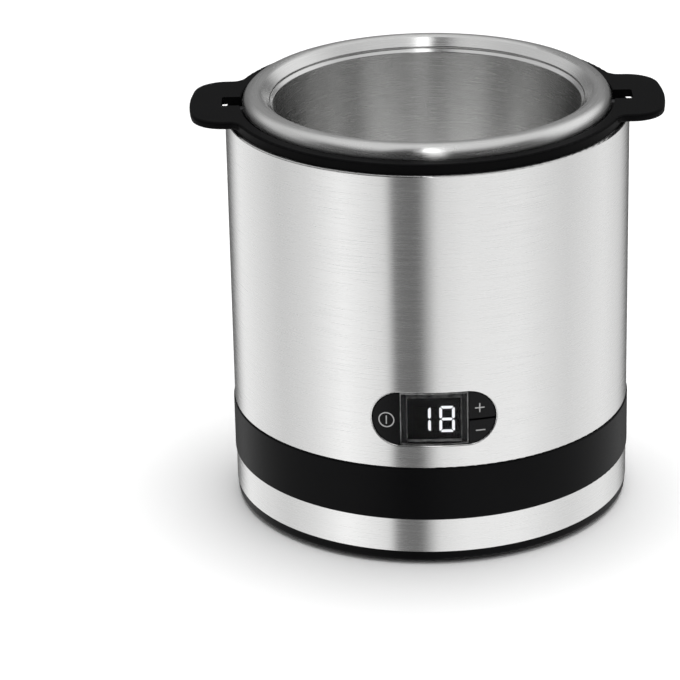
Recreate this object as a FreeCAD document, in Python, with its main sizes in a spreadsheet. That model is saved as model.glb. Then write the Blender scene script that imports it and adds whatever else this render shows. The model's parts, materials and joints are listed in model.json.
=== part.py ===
"""Small electric frozen-yogurt maker, as an assembly of its separate pieces.

Frame: +Z up, origin on the table under the middle of the base, control panel towards -Y,
handle tabs along X. All lengths are millimetres.
"""
import FreeCAD
import Part
import Sketcher
import math
import operator
import os
from types import SimpleNamespace

DRIVING_SIZES = {
    # Outside of the base, from the table upwards
    "foot_drop": 1.0,
    "plate_edge": 4.5,
    "trim_height": 13.5,
    "belt_height": 21.5,
    "chamber_height": 35.0,
    "body_radius": 78.0,
    "belt_proud": 0.4,
    "plate_inset": 0.3,
    # Steel sheet and the small clearances
    "sheet_wall": 0.8,
    "sheet_round": 0.6,
    "opening_round": 0.5,
    "lip_width": 2.2,
    "fit_gap": 0.1,
    "run_gap": 0.05,
    "press_gap": 0.02,
    # Belt housing
    "belt_wall": 3.4,
    "belt_round": 0.5,
    "spigot_up": 6.0,
    "spigot_down": 8.0,
    "shelf_thick": 2.5,
    "shelf_width": 24.0,
    # Base plate and feet
    "plate_thick": 2.5,
    "plate_round": 1.6,
    "plate_rim_gap": 1.0,
    "plate_rim_wall": 2.4,
    "foot_inset": 18.0,
    "foot_radius": 7.0,
    "foot_seat": 1.0,
    "foot_round": 0.6,
    "vent_length": 44.0,
    "vent_width": 3.0,
    "vent_pitch": 6.0,
    "vent_start": 14.0,
    "vent_count": 6,
    # Screws that hold the base together
    "screw_inset": 16.0,
    "screw_turn": 22.5,
    "screw_radius": 1.6,
    "screw_head_radius": 3.2,
    "screw_head_height": 2.2,
    "screw_grip": 8.0,
    "screw_play": 0.3,
    "post_radius": 4.5,
    "pillar_radius": 5.8,
    "pillar_web": 6.0,
    "boss_height": 9.0,
    # Well that the bowl stands in
    "well_depth": 80.0,
    "well_wall": 2.2,
    "well_floor_wall": 2.5,
    "well_lip": 7.4,
    "well_taper": 3.0,
    "well_round": 4.0,
    "well_flange": 3.0,
    "collar_height": 3.0,
    "collar_wall": 2.5,
    # Carrier ring with its two handle tabs
    "ring_inset": 1.2,
    "ring_wall": 4.6,
    "ring_height": 4.0,
    "ring_round": 0.8,
    "ring_ledge_drop": 0.8,
    "ring_rim_gap": 0.9,
    "ring_bowl_gap": 0.9,
    "skirt_depth": 8.0,
    "skirt_gap": 0.6,
    "tab_length": 15.5,
    "tab_half_width": 25.0,
    "tab_crown": 3.3,
    "tab_thick": 3.0,
    "tab_corner": 12.6,
    "tab_shoulder": 2.4,
    "tab_flare": 7.0,
    "tab_flare_round": 4.0,
    "tab_edge": 1.0,
    "slot_under": 0.5,
    "slot_beyond": 2.4,
    "slot_half_width": 5.2,
    "slot_round": 0.8,
    # Double-walled bowl
    "rim_crest": 8.9,
    "rim_lip": 3.1,
    "rim_outer_round": 5.4,
    "rim_inner_round": 2.9,
    "rim_flat": 0.2,
    "funnel_drop": 3.8,
    "throat_drop": 0.8,
    "cone_drop": 1.2,
    "bend_round": 0.6,
    "bowl_wall": 1.0,
    "bowl_taper": 5.5,
    "bowl_floor_round": 16.0,
    "shell_wall": 1.2,
    "shell_inset": 4.4,
    "shell_taper": 4.9,
    "shell_floor_round": 12.0,
    "seal_wire": 1.1,
    "gel_headroom": 14.0,
    "gel_floor": 7.8,
    # Drive coupling under the bowl
    "dog_height": 6.5,
    "dog_lift": 0.5,
    "dog_arm": 14.0,
    "dog_half_width": 3.2,
    "dog_tip_round": 1.0,
    "dog_root_round": 3.0,
    "dog_play": 0.4,
    "socket_radius": 19.0,
    "socket_roof": 2.0,
    "socket_lift": 0.5,
    # Gear train
    "gear_module_fast": 0.7,
    "gear_module_slow": 1.0,
    "pinion_teeth": 12,
    "wheel_teeth": 48,
    "tooth_slack": 0.1,
    "hub_wall": 2.0,
    "gear_width": 6.0,
    "gear_step": 1.4,
    "wheel_width": 5.0,
    "rotor_bearing": 200.0,
    "gear_clear": 2.25,
    "case_wall": 2.0,
    "case_height": 20.0,
    "case_roof": 2.5,
    "lid_thick": 2.5,
    "lug_out": 5.5,
    "lug_radius": 4.5,
    "lug_drop": 4.0,
    "shaft_radius": 4.0,
    "shaft_foot_radius": 3.0,
    "shaft_collar_radius": 6.0,
    "shaft_collar_height": 3.0,
    "shaft_tip_radius": 3.4,
    "shaft_seat": 1.5,
    "axle_radius": 2.0,
    "bush_radius": 7.0,
    "bush_flange_radius": 9.0,
    "bush_flange_height": 1.8,
    # Motor
    "motor_radius": 20.0,
    "motor_height": 22.0,
    "motor_standoff": 3.0,
    "motor_collar_radius": 8.0,
    "motor_round": 1.5,
    "motor_ear_out": 3.5,
    "motor_ear_radius": 4.2,
    "motor_ear_thick": 1.6,
    "motor_ear_turn": 80.0,
    "motor_shaft_radius": 2.0,
    # Control panel
    "panel_rise": 20.2,
    "panel_width": 46.8,
    "panel_height": 21.7,
    "panel_gap": 0.3,
    "cap_recess": 0.3,
    "cap_flange": 1.0,
    "cap_flange_thick": 2.4,
    "cap_travel": 0.6,
    "lens_width": 25.8,
    "lens_flange_thick": 1.8,
    "lens_face": 2.5,
    "window_width": 21.0,
    "window_height": 17.3,
    "frame_over": 1.0,
    "frame_rise": 13.0,
    "frame_round": 4.0,
    "frame_thick": 2.6,
    "panel_depth": 18.0,
    "board_thick": 1.6,
    "board_width": 62.0,
    "board_clear": 2.8,
    "board_post_inset": 3.0,
    "board_post_radius": 2.4,
    "board_screw_radius": 1.1,
    "board_screw_head_radius": 2.2,
    "board_screw_head_height": 1.1,
    "board_screw_grip": 5.0,
    "key_reach": 18.0,
    "key_spread": 4.6,
    "key_split_drop": 0.9,
    "key_split_gap": 0.8,
    "switch_side": 6.0,
    "switch_height": 3.5,
    "plunger_radius": 1.6,
    "plunger_length": 2.0,
    "plunger_out": 1.0,
    "display_gap": 0.5,
    # Power supply in the foot of the base
    "supply_width": 70.0,
    "supply_length": 46.0,
    "supply_gap": 5.5,
    "supply_lift": 4.5,
    "supply_post_inset": 5.0,
    "supply_post_radius": 3.0,
    "coil_block_width": 28.0,
    "coil_block_length": 24.0,
    "coil_block_height": 20.0,
    "coil_block_x": 15.0,
    "coil_block_inset": 21.0,
    "coil_flange": 2.0,
    "winding_width": 20.0,
    "capacitor_radius": 6.0,
    "capacitor_height": 16.0,
    "capacitor_x": 18.0,
    "capacitor_inset": 26.0,
    # Cord gland in the rear of the belt
    "gland_rise": 11.0,
    "gland_radius": 5.4,
    "gland_bore": 3.4,
    "gland_flange_radius": 8.0,
    "gland_flange_thick": 2.0,
    "gland_clip_radius": 6.4,
    "gland_clip_thick": 2.0,
    "gland_slack": 0.5,
    "gland_sink": 2.4,
    # Leads inside the base
    "lead_thick": 1.2,
    "lead_bend": 4.0,
    "panel_lead_width": 10.0,
    "panel_lead_x": 12.0,
    "panel_lead_inset": 5.0,
    "panel_lead_drop": 3.0,
    "motor_lead_width": 4.0,
    "motor_lead_inset": 36.0,
    "motor_lead_rise": 9.0,
}

PRESSURE_ANGLE = math.radians(20.0)
TIP_RATIO_PINION = 1.0
TIP_RATIO_WHEEL = 0.75
ROOT_RATIO = 1.25
TAB_END_SHARE = 0.42
DIAGONAL = math.sqrt(0.5)
RIGHT_ANGLE_OFFSET = math.tan(math.radians(22.5))
CORNERS = ((-1, -1), (1, -1), (1, 1), (-1, 1))


class Size:
    """A length together with the sheet formula that it comes from."""

    def __init__(self, value, formula):
        self.value = value
        self.formula = formula

    def __add__(self, other):
        return combined(self, "+", other)

    def __radd__(self, other):
        return combined(other, "+", self)

    def __sub__(self, other):
        return combined(self, "-", other)

    def __rsub__(self, other):
        return combined(other, "-", self)

    def __mul__(self, other):
        return combined(self, "*", other)

    def __rmul__(self, other):
        return combined(other, "*", self)

    def __truediv__(self, other):
        return combined(self, "/", other)

    def __neg__(self):
        return combined(0.0, "-", self)


OPERATIONS = {"+": operator.add, "-": operator.sub, "*": operator.mul, "/": operator.truediv}


def as_size(number):
    """A plain number as a Size, so that both can be mixed in one formula."""
    if isinstance(number, Size):
        return number
    return Size(float(number), f"({float(number)!r})")


def combined(left, sign, right):
    left = as_size(left)
    right = as_size(right)
    value = OPERATIONS[sign](left.value, right.value)
    return Size(value, f"({left.formula} {sign} {right.formula})")


doc = FreeCAD.newDocument("YogurtMaker")
sheet = doc.addObject("Spreadsheet::Sheet", "Sizes")
for row, (alias, number) in enumerate(DRIVING_SIZES.items(), start=1):
    sheet.set(f"A{row}", alias)
    sheet.set(f"B{row}", str(number))
    sheet.setAlias(f"B{row}", alias)
doc.recompute()
size = SimpleNamespace(**{
    alias: Size(float(sheet.get(alias)), f"Sizes.{alias}") for alias in DRIVING_SIZES
})
pieces = []


# Helpers: bodies, sketches and features

def new_body(label):
    """An empty body that is one named piece of the object."""
    body = doc.addObject("PartDesign::Body", label)
    body.Label = label
    body.AllowCompound = True
    pieces.append(body)
    return body


def new_sketch(body, role, offset=0.0):
    """A sketch on one of the body's own origin planes, moved along the plane's normal."""
    sketch = body.newObject("Sketcher::SketchObject", f"{body.Label}_sketch")
    plane = next(item for item in body.Origin.OriginFeatures if item.Role == role)
    sketch.AttachmentSupport = [(plane, "")]
    sketch.MapMode = "FlatFace"
    sketch.setExpression("AttachmentOffset.Base.z", as_size(offset).formula)
    return sketch


def bind(sketch, constraints):
    """Add (constraint, size) pairs and tie each one that has a size to its formula."""
    first = sketch.ConstraintCount
    sketch.addConstraint([constraint for constraint, _ in constraints])
    for index, (_, amount) in enumerate(constraints, start=first):
        if amount is not None:
            sketch.setExpression(f"Constraints[{index}]", amount.formula)


def point_place(geometry, position, across, up):
    """The two constraints that hold one sketch point at its place."""
    across = as_size(across)
    up = as_size(up)
    return [
        (Sketcher.Constraint("DistanceX", -1, 1, geometry, position, across.value), across),
        (Sketcher.Constraint("DistanceY", -1, 1, geometry, position, up.value), up),
    ]


def flat(across, up):
    return FreeCAD.Vector(as_size(across).value, as_size(up).value, 0)


def draw_circle(sketch, across, up, radius):
    radius = as_size(radius)
    circle = sketch.addGeometry(Part.Circle(flat(across, up), FreeCAD.Vector(0, 0, 1), radius.value))
    rules = point_place(circle, 3, across, up)
    rules.append((Sketcher.Constraint("Radius", circle, radius.value), radius))
    bind(sketch, rules)


def corner_cut(before, here, after, radius):
    """Where a round of this radius leaves the two straight sides of a corner."""
    to_before = (before - here).normalize()
    to_after = (after - here).normalize()
    half_turn = to_before.getAngle(to_after) / 2
    reach = radius / math.tan(half_turn)
    middle = here + (to_before + to_after).normalize() * (radius / math.sin(half_turn))
    return here + to_before * reach, here + to_after * reach, middle


def corner_arc(start, end, middle, radius):
    """The round between two straight sides, as a sketch arc, and which way it runs."""
    first = math.atan2(start.y - middle.y, start.x - middle.x)
    last = math.atan2(end.y - middle.y, end.x - middle.x)
    runs_left = (last - first) % (2 * math.pi) < math.pi
    if not runs_left:
        first, last = last, first
    circle = Part.Circle(middle, FreeCAD.Vector(0, 0, 1), radius)
    return Part.ArcOfCircle(circle, first, last), runs_left


def draw_loop(sketch, corners):
    """A closed outline of straight sides. A corner is (across, up) or (across, up, round)."""
    count = len(corners)
    places = [flat(corner[0], corner[1]) for corner in corners]
    rounds = [as_size(corner[2]) if len(corner) == 3 else None for corner in corners]
    starts = list(places)
    ends = list(places)
    middles = [None] * count
    for index in range(count):
        if rounds[index] is not None:
            cut = corner_cut(places[index - 1], places[index], places[(index + 1) % count],
                             rounds[index].value)
            ends[index], starts[index], middles[index] = cut
    lines = sketch.addGeometry([
        Part.LineSegment(starts[index], ends[(index + 1) % count]) for index in range(count)
    ])
    rules = []
    for index, corner in enumerate(corners):
        incoming = lines[index - 1]
        outgoing = lines[index]
        if rounds[index] is None:
            rules.append((Sketcher.Constraint("Coincident", incoming, 2, outgoing, 1), None))
            rules += point_place(outgoing, 1, corner[0], corner[1])
            continue
        radius = rounds[index]
        arc_shape, runs_left = corner_arc(ends[index], starts[index], middles[index], radius.value)
        arc = sketch.addGeometry(arc_shape)
        corner_point = sketch.addGeometry(Part.Point(places[index]), True)
        arc_first, arc_last = (1, 2) if runs_left else (2, 1)
        rules += point_place(corner_point, 1, corner[0], corner[1])
        rules += [
            (Sketcher.Constraint("PointOnObject", corner_point, 1, incoming), None),
            (Sketcher.Constraint("PointOnObject", corner_point, 1, outgoing), None),
            (Sketcher.Constraint("Tangent", incoming, 2, arc, arc_first), None),
            (Sketcher.Constraint("Tangent", arc, arc_last, outgoing, 1), None),
            (Sketcher.Constraint("Radius", arc, radius.value), radius),
        ]
    bind(sketch, rules)


def draw_obround(sketch, first, second, radius):
    """A slot outline round two centres."""
    radius = as_size(radius)
    centres = [flat(*first), flat(*second)]
    along = (centres[1] - centres[0]).normalize()
    side = FreeCAD.Vector(-along.y, along.x, 0) * radius.value
    turn = math.atan2(along.y, along.x)
    up = FreeCAD.Vector(0, 0, 1)
    quarter = math.pi / 2
    near, far, left, right = sketch.addGeometry([
        Part.ArcOfCircle(Part.Circle(centres[0], up, radius.value), turn + quarter, turn + 3 * quarter),
        Part.ArcOfCircle(Part.Circle(centres[1], up, radius.value), turn - quarter, turn + quarter),
        Part.LineSegment(centres[1] + side, centres[0] + side),
        Part.LineSegment(centres[0] - side, centres[1] - side),
    ])
    rules = point_place(near, 3, *first) + point_place(far, 3, *second)
    rules += [
        (Sketcher.Constraint("Tangent", left, 2, near, 1), None),
        (Sketcher.Constraint("Tangent", near, 2, right, 1), None),
        (Sketcher.Constraint("Tangent", right, 2, far, 1), None),
        (Sketcher.Constraint("Tangent", far, 2, left, 1), None),
        (Sketcher.Constraint("Radius", near, radius.value), radius),
        (Sketcher.Constraint("Equal", near, far), None),
    ]
    bind(sketch, rules)


def rectangle(middle_across, middle_up, width, height, rounding=None):
    """The four corners of an upright rectangle, all with the same round if one is given."""
    extra = () if rounding is None else (rounding,)
    return [
        (middle_across + side * width / 2, middle_up + level * height / 2) + extra
        for side, level in CORNERS
    ]


def revolved(label, corners):
    """A piece turned round Z from its half section, given as (radius, height) corners."""
    body = new_body(label)
    sketch = new_sketch(body, "XZ_Plane")
    draw_loop(sketch, corners)
    turn = body.newObject("PartDesign::Revolution", f"{label}_turn")
    turn.Profile = sketch
    turn.ReferenceAxis = (sketch, ["V_Axis"])
    turn.Angle = 360
    return body


def pad(body, sketch, length):
    feature = body.newObject("PartDesign::Pad", f"{body.Label}_pad")
    feature.Profile = sketch
    feature.setExpression("Length", as_size(length).formula)
    return feature


def pocket(body, sketch, length=None, along_normal=False, both_ways=False):
    """Cut a sketch out of a body: so deep, or right through. The cut has to take something away."""
    doc.recompute()
    before = body.Shape.Volume
    feature = body.newObject("PartDesign::Pocket", f"{body.Label}_pocket")
    feature.Profile = sketch
    feature.Reversed = along_normal
    feature.Midplane = both_ways
    if length is None:
        feature.Type = "ThroughAll"
    else:
        feature.setExpression("Length", as_size(length).formula)
    doc.recompute()
    if not body.Shape.Volume < before:
        raise RuntimeError(f"a cut in {body.Label} takes nothing away")
    return feature


def circles(body, role, offset, places, radius):
    """A sketch of equal circles, one at each place."""
    sketch = new_sketch(body, role, offset)
    for across, up in places:
        draw_circle(sketch, across, up, radius)
    return sketch


def rounded(body, radius, chosen):
    """Round the edges of a body's last feature that the chosen test picks."""
    doc.recompute()
    base = body.Tip
    names = [f"Edge{index}" for index, edge in enumerate(base.Shape.Edges, start=1) if chosen(edge)]
    feature = body.newObject("PartDesign::Fillet", f"{body.Label}_round")
    feature.Base = (base, names)
    feature.setExpression("Radius", radius.formula)
    return feature


def joined(label, bodies):
    """Several bodies fused into one piece."""
    piece = doc.addObject("Part::MultiFuse", label)
    piece.Label = label
    piece.Shapes = bodies
    piece.Refine = True
    for body in bodies:
        pieces.remove(body)
    pieces.append(piece)
    return piece


def screw_group(label, places, seat, shank):
    """Screws that point up, with their heads under a seat at the given places."""
    body = new_body(label)
    heads = circles(body, "XY_Plane", seat - size.screw_head_height, places, size.screw_head_radius)
    pad(body, heads, size.screw_head_height)
    shanks = circles(body, "XY_Plane", seat, places, size.screw_radius)
    pad(body, shanks, shank)


# Levels and places that several pieces share

plate_bottom = size.foot_drop
trim_bottom = plate_bottom + size.plate_edge
belt_bottom = trim_bottom + size.trim_height
belt_top = belt_bottom + size.belt_height
well_under = belt_top + size.chamber_height
well_floor = well_under + size.well_floor_wall
sleeve_top = well_floor + size.well_depth
sleeve_bore = size.body_radius - size.sheet_wall
spigot_radius = sleeve_bore - size.fit_gap
belt_radius = size.body_radius + size.belt_proud
gland_seat = belt_radius - size.gland_sink
belt_bore = belt_radius - size.belt_wall
shelf_top = belt_bottom + size.shelf_thick
shelf_bore = size.body_radius - size.shelf_width
screw_circle = size.body_radius - size.screw_inset
diagonal_reach = screw_circle * DIAGONAL
tie_places = [(diagonal_reach * side, diagonal_reach * level) for side, level in CORNERS]
screw_angles = [math.radians(size.screw_turn.value + 90.0 * quarter) for quarter in range(4)]
base_screw_places = [
    (screw_circle * math.cos(angle), screw_circle * math.sin(angle)) for angle in screw_angles
]
screw_hole = size.screw_radius + size.screw_play
pillar_seat = belt_bottom - size.pillar_web

slow_distance = size.gear_module_slow * (size.pinion_teeth + size.wheel_teeth) / 2
fast_distance = size.gear_module_fast * (size.pinion_teeth + size.wheel_teeth) / 2
idler_place = (as_size(0), slow_distance)
rotor_turn = math.radians(size.rotor_bearing.value)
rotor_place = (fast_distance * math.cos(rotor_turn), slow_distance + fast_distance * math.sin(rotor_turn))
case_bottom = well_under - size.case_height
case_under_roof = well_under - size.case_roof
lid_bottom = case_bottom - size.lid_thick
lug_top = well_under - size.lug_drop
output_tip = size.gear_module_slow * (size.wheel_teeth / 2 + TIP_RATIO_WHEEL)
case_radius = output_tip + size.gear_clear + size.case_wall
lug_reach = case_radius + size.lug_out
lug_places = [(lug_reach * side, slow_distance * level) for side in (-1, 1) for level in (0, 1)]
bush_hole = size.bush_radius + size.fit_gap
seal_radius = size.bush_flange_radius + size.run_gap
collar_bore = seal_radius + size.fit_gap

well_mouth = size.body_radius - size.well_lip
well_foot = well_mouth - size.well_taper
ring_radius = size.body_radius - size.ring_inset
ledge_radius = ring_radius - size.ring_wall
rim_radius = ledge_radius - size.ring_rim_gap
crest_width = size.rim_outer_round + size.rim_flat + size.rim_inner_round * RIGHT_ANGLE_OFFSET
crest_radius = rim_radius - crest_width
throat_radius = crest_radius - size.funnel_drop
crest_height = sleeve_top + size.rim_crest
lip_height = sleeve_top + size.rim_lip
funnel_level = crest_height - size.funnel_drop
throat_level = funnel_level - size.throat_drop
cone_level = throat_level - size.cone_drop
wall_top_radius = throat_radius - size.cone_drop
wall_foot_radius = wall_top_radius - size.bowl_taper
dog_bottom = well_floor + size.collar_height + size.dog_lift
dog_top = dog_bottom + size.dog_height
socket_bottom = dog_bottom + size.socket_lift
shell_bottom = dog_top + size.socket_roof
shell_floor = shell_bottom + size.shell_wall
shell_top_radius = rim_radius - size.shell_inset
shell_foot_radius = shell_top_radius - size.shell_taper
bowl_under = shell_floor + size.gel_floor
bowl_floor = bowl_under + size.bowl_wall
seal_middle_radius = rim_radius - size.rim_outer_round
seal_middle_height = crest_height - size.bowl_wall - size.seal_wire
shell_top = seal_middle_height - size.seal_wire

panel_level = belt_top + size.panel_rise
frame_outer = sleeve_bore - size.fit_gap
frame_inner = frame_outer - size.frame_thick
cap_flange_outer = frame_inner - size.panel_gap
cap_flange_inner = cap_flange_outer - size.cap_flange_thick
cap_face = size.body_radius - size.cap_recess
lens_back = cap_face - size.lens_face
board_front = size.body_radius - size.panel_depth
board_back = board_front - size.board_thick
board_height = (well_under - size.board_clear - panel_level) * 2
switch_front = board_front + size.switch_height
plunger_front = switch_front + size.plunger_out
supply_front = screw_circle * math.cos(screw_angles[0]) - size.pillar_radius - size.supply_gap
supply_bottom = plate_bottom + size.plate_thick + size.supply_lift
supply_top = supply_bottom + size.board_thick
motor_top = lid_bottom - size.motor_standoff
motor_bottom = motor_top - size.motor_height
trim_away = sleeve_top + size.body_radius
past_front = size.body_radius * 2


# The steel sleeve, the belt and the base

def outer_sleeve():
    """Steel tube with a folded lip at its top and the obround panel opening at the front."""
    lip_edge = size.body_radius - size.lip_width
    lip_under = sleeve_top - size.sheet_wall
    body = revolved("outer_sleeve", [
        (sleeve_bore, belt_top),
        (size.body_radius, belt_top),
        (size.body_radius, sleeve_top, size.sheet_round),
        (lip_edge, sleeve_top),
        (lip_edge, lip_under),
        (sleeve_bore, lip_under),
    ])
    opening = new_sketch(body, "XZ_Plane")
    panel_obround(opening, as_size(0))
    pocket(body, opening, along_normal=True)

    def opening_edge(edge):
        place = edge.Vertexes[0].Point
        on_outside = abs(math.hypot(place.x, place.y) - size.body_radius.value) < size.press_gap.value
        middle = edge.BoundBox.Center.z
        return on_outside and abs(middle - panel_level.value) < size.panel_height.value

    rounded(body, size.opening_round, opening_edge)


def panel_obround(sketch, inset):
    """The outline of the panel opening, drawn in by an even inset."""
    radius = size.panel_height / 2 - inset
    reach = size.panel_width / 2 - size.panel_height / 2
    draw_obround(sketch, (-reach, panel_level), (reach, panel_level), radius)


def belt_housing():
    """Black belt with a spigot for the sleeve, one for the trim ring, and the screw shelf."""
    body = revolved("belt_housing", [
        (belt_bore, belt_bottom - size.spigot_down),
        (spigot_radius, belt_bottom - size.spigot_down),
        (spigot_radius, belt_bottom),
        (belt_radius, belt_bottom, size.belt_round),
        (belt_radius, belt_top, size.belt_round),
        (spigot_radius, belt_top),
        (spigot_radius, belt_top + size.spigot_up),
        (belt_bore, belt_top + size.spigot_up),
        (belt_bore, shelf_top),
        (shelf_bore, shelf_top),
        (shelf_bore, belt_bottom),
        (belt_bore, belt_bottom),
    ])
    pad(body, circles(body, "XY_Plane", shelf_top, base_screw_places, size.post_radius), size.boss_height)
    pilots = circles(body, "XY_Plane", belt_bottom, base_screw_places, size.screw_radius + size.press_gap)
    pocket(body, pilots, size.shelf_thick + size.screw_grip, along_normal=True)
    ties = circles(body, "XY_Plane", belt_bottom, tie_places, screw_hole)
    pocket(body, ties, size.shelf_thick, along_normal=True)
    gland_level = belt_bottom + size.gland_rise
    seat = circles(body, "XZ_Plane", -gland_seat, [(0.0, gland_level)],
                   size.gland_flange_radius + size.fit_gap)
    pocket(body, seat)
    bore = circles(body, "XZ_Plane", -shelf_bore, [(0.0, gland_level)],
                   size.gland_radius + size.fit_gap)
    pocket(body, bore)


def trim_ring():
    """Steel ring between the belt and the base plate."""
    revolved("trim_ring", [
        (sleeve_bore, trim_bottom),
        (size.body_radius, trim_bottom),
        (size.body_radius, belt_bottom),
        (sleeve_bore, belt_bottom),
    ])


def base_plate():
    """Floor pan with screw pillars, vent slots, foot seats and posts for the supply board."""
    edge = size.body_radius - size.plate_inset
    plate_top = plate_bottom + size.plate_thick
    rim_top = belt_bottom - size.spigot_down - size.plate_rim_gap
    rim_inner = spigot_radius - size.plate_rim_wall
    body = revolved("base_plate", [
        (0.0, plate_bottom),
        (edge, plate_bottom, size.plate_round),
        (edge, trim_bottom),
        (spigot_radius, trim_bottom),
        (spigot_radius, rim_top),
        (rim_inner, rim_top),
        (rim_inner, plate_top),
        (0.0, plate_top),
    ])
    pillars = circles(body, "XY_Plane", plate_bottom, base_screw_places, size.pillar_radius)
    pad(body, pillars, belt_bottom - plate_bottom)
    head_room = circles(body, "XY_Plane", plate_bottom, base_screw_places,
                        size.screw_head_radius + size.screw_play)
    pocket(body, head_room, pillar_seat - plate_bottom, along_normal=True)
    holes = circles(body, "XY_Plane", plate_bottom, base_screw_places, screw_hole)
    pocket(body, holes, along_normal=True)
    posts = circles(body, "XY_Plane", plate_bottom, supply_posts(), size.supply_post_radius)
    pad(body, posts, size.plate_thick + size.supply_lift)
    seats = circles(body, "XY_Plane", plate_bottom, foot_places(), size.foot_radius + size.fit_gap)
    pocket(body, seats, size.foot_seat, along_normal=True)
    vent = new_sketch(body, "XY_Plane", plate_bottom)
    vent_half = (size.vent_length - size.vent_width) / 2
    draw_obround(vent, (-vent_half, size.vent_start), (vent_half, size.vent_start), size.vent_width / 2)
    first_vent = pocket(body, vent, along_normal=True)
    row = body.newObject("PartDesign::LinearPattern", "base_plate_vents")
    row.Originals = [first_vent]
    row.Direction = (vent, ["V_Axis"])
    row.setExpression("Length", (size.vent_pitch * (size.vent_count - 1)).formula)
    row.setExpression("Occurrences", size.vent_count.formula)
    body.Tip = row


def foot_places():
    reach = (size.body_radius - size.foot_inset) * DIAGONAL
    return [(reach * side, reach * level) for side, level in CORNERS]


def supply_posts():
    """The corners where the supply board stands."""
    side = size.supply_width / 2 - size.supply_post_inset
    front = -supply_front + size.supply_post_inset
    rear = -supply_front + size.supply_length - size.supply_post_inset
    return [(-side, front), (side, front), (side, rear), (-side, rear)]


def feet():
    """Four rubber feet, pressed into their seats under the plate."""
    names = ("foot_front_left", "foot_front_right", "foot_rear_right", "foot_rear_left")
    for name, (across, back) in zip(names, foot_places()):
        body = revolved(name, [
            (0.0, 0.0),
            (size.foot_radius, 0.0, size.foot_round),
            (size.foot_radius, plate_bottom + size.foot_seat),
            (0.0, plate_bottom + size.foot_seat),
        ])
        body.setExpression("Placement.Base.x", across.formula)
        body.setExpression("Placement.Base.y", back.formula)


def base_fasteners():
    """Screws of the base plate and of the posts that tie the well to the belt."""
    base_shank = size.pillar_web + size.shelf_thick + size.screw_grip - size.screw_play
    screw_group("base_screws", base_screw_places, pillar_seat, base_shank)
    tie_shank = size.shelf_thick + size.screw_grip - size.screw_play
    screw_group("tie_screws", tie_places, belt_bottom, tie_shank)


def cord_gland():
    """Flanged bush for the mains lead, flush in the rear of the belt."""
    inner_face = belt_bore - size.gland_slack
    depth = gland_seat - inner_face
    body = revolved("cord_gland", [
        (size.gland_bore, -depth - size.gland_clip_thick),
        (size.gland_clip_radius, -depth - size.gland_clip_thick),
        (size.gland_clip_radius, -depth),
        (size.gland_radius, -depth),
        (size.gland_radius, 0.0),
        (size.gland_flange_radius, 0.0),
        (size.gland_flange_radius, size.gland_flange_thick, size.belt_round),
        (size.gland_bore, size.gland_flange_thick, size.belt_round),
    ])
    body.Placement.Rotation = FreeCAD.Rotation(FreeCAD.Vector(1, 0, 0), -90)
    body.setExpression("Placement.Base.y", gland_seat.formula)
    body.setExpression("Placement.Base.z", (belt_bottom + size.gland_rise).formula)


# The well and the gear train under it

def bowl_well():
    """Plastic well with a drip collar, bosses for the gear case and posts down to the belt."""
    step_radius = size.body_radius - size.lip_width - size.fit_gap
    step_level = sleeve_top - size.sheet_wall
    flange_under = sleeve_top - size.well_flange
    collar_radius = collar_bore + size.collar_wall
    collar_top = well_floor + size.collar_height
    body = revolved("bowl_well", [
        (bush_hole, well_under),
        (well_foot + size.well_wall, well_under, size.well_round),
        (well_mouth + size.well_wall, flange_under),
        (spigot_radius, flange_under),
        (spigot_radius, step_level),
        (step_radius, step_level),
        (step_radius, sleeve_top),
        (well_mouth, sleeve_top, size.ring_round),
        (well_foot, well_floor, size.well_round),
        (collar_radius, well_floor),
        (collar_radius, collar_top),
        (collar_bore, collar_top),
        (collar_bore, well_floor),
        (bush_hole, well_floor),
    ])
    half_floor = size.well_floor_wall / 2
    posts = circles(body, "XY_Plane", shelf_top, tie_places, size.post_radius)
    pad(body, posts, well_under - shelf_top + half_floor)
    post_pilots = circles(body, "XY_Plane", shelf_top, tie_places, size.screw_radius + size.press_gap)
    pocket(body, post_pilots, size.screw_grip, along_normal=True)
    bosses = circles(body, "XY_Plane", lug_top, lug_places, size.lug_radius)
    pad(body, bosses, size.lug_drop + half_floor)
    boss_pilots = circles(body, "XY_Plane", lug_top, lug_places, size.screw_radius + size.press_gap)
    pocket(body, boss_pilots, size.lug_drop, along_normal=True)


def case_outline(sketch, inset):
    """The plan of the gear case, round the slow gear and the idler."""
    draw_obround(sketch, (0.0, 0.0), idler_place, case_radius - inset)


def lug_bars(body, bottom, height):
    """Bars across the case or its lid that end in the screw lugs."""
    for level in (as_size(0), slow_distance):
        bar = new_sketch(body, "XY_Plane", bottom)
        draw_obround(bar, (-lug_reach, level), (lug_reach, level), size.lug_radius)
        pad(body, bar, height)


def gearbox_case():
    """Gear housing, open below, with four lugs that meet the bosses of the well."""
    body = new_body("gearbox_case")
    walls = new_sketch(body, "XY_Plane", case_bottom)
    case_outline(walls, as_size(0))
    pad(body, walls, size.case_height)
    lug_bars(body, case_bottom, lug_top - case_bottom)
    room = new_sketch(body, "XY_Plane", case_bottom)
    case_outline(room, size.case_wall)
    pocket(body, room, size.case_height - size.case_roof, along_normal=True)
    bush_seat = circles(body, "XY_Plane", case_under_roof, [(0.0, 0.0)], bush_hole)
    pocket(body, bush_seat, along_normal=True)
    axle_seat = circles(body, "XY_Plane", case_under_roof, [idler_place], size.axle_radius + size.press_gap)
    pocket(body, axle_seat, size.shaft_seat, along_normal=True)
    holes = circles(body, "XY_Plane", case_bottom, lug_places, screw_hole)
    pocket(body, holes, along_normal=True)


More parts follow.
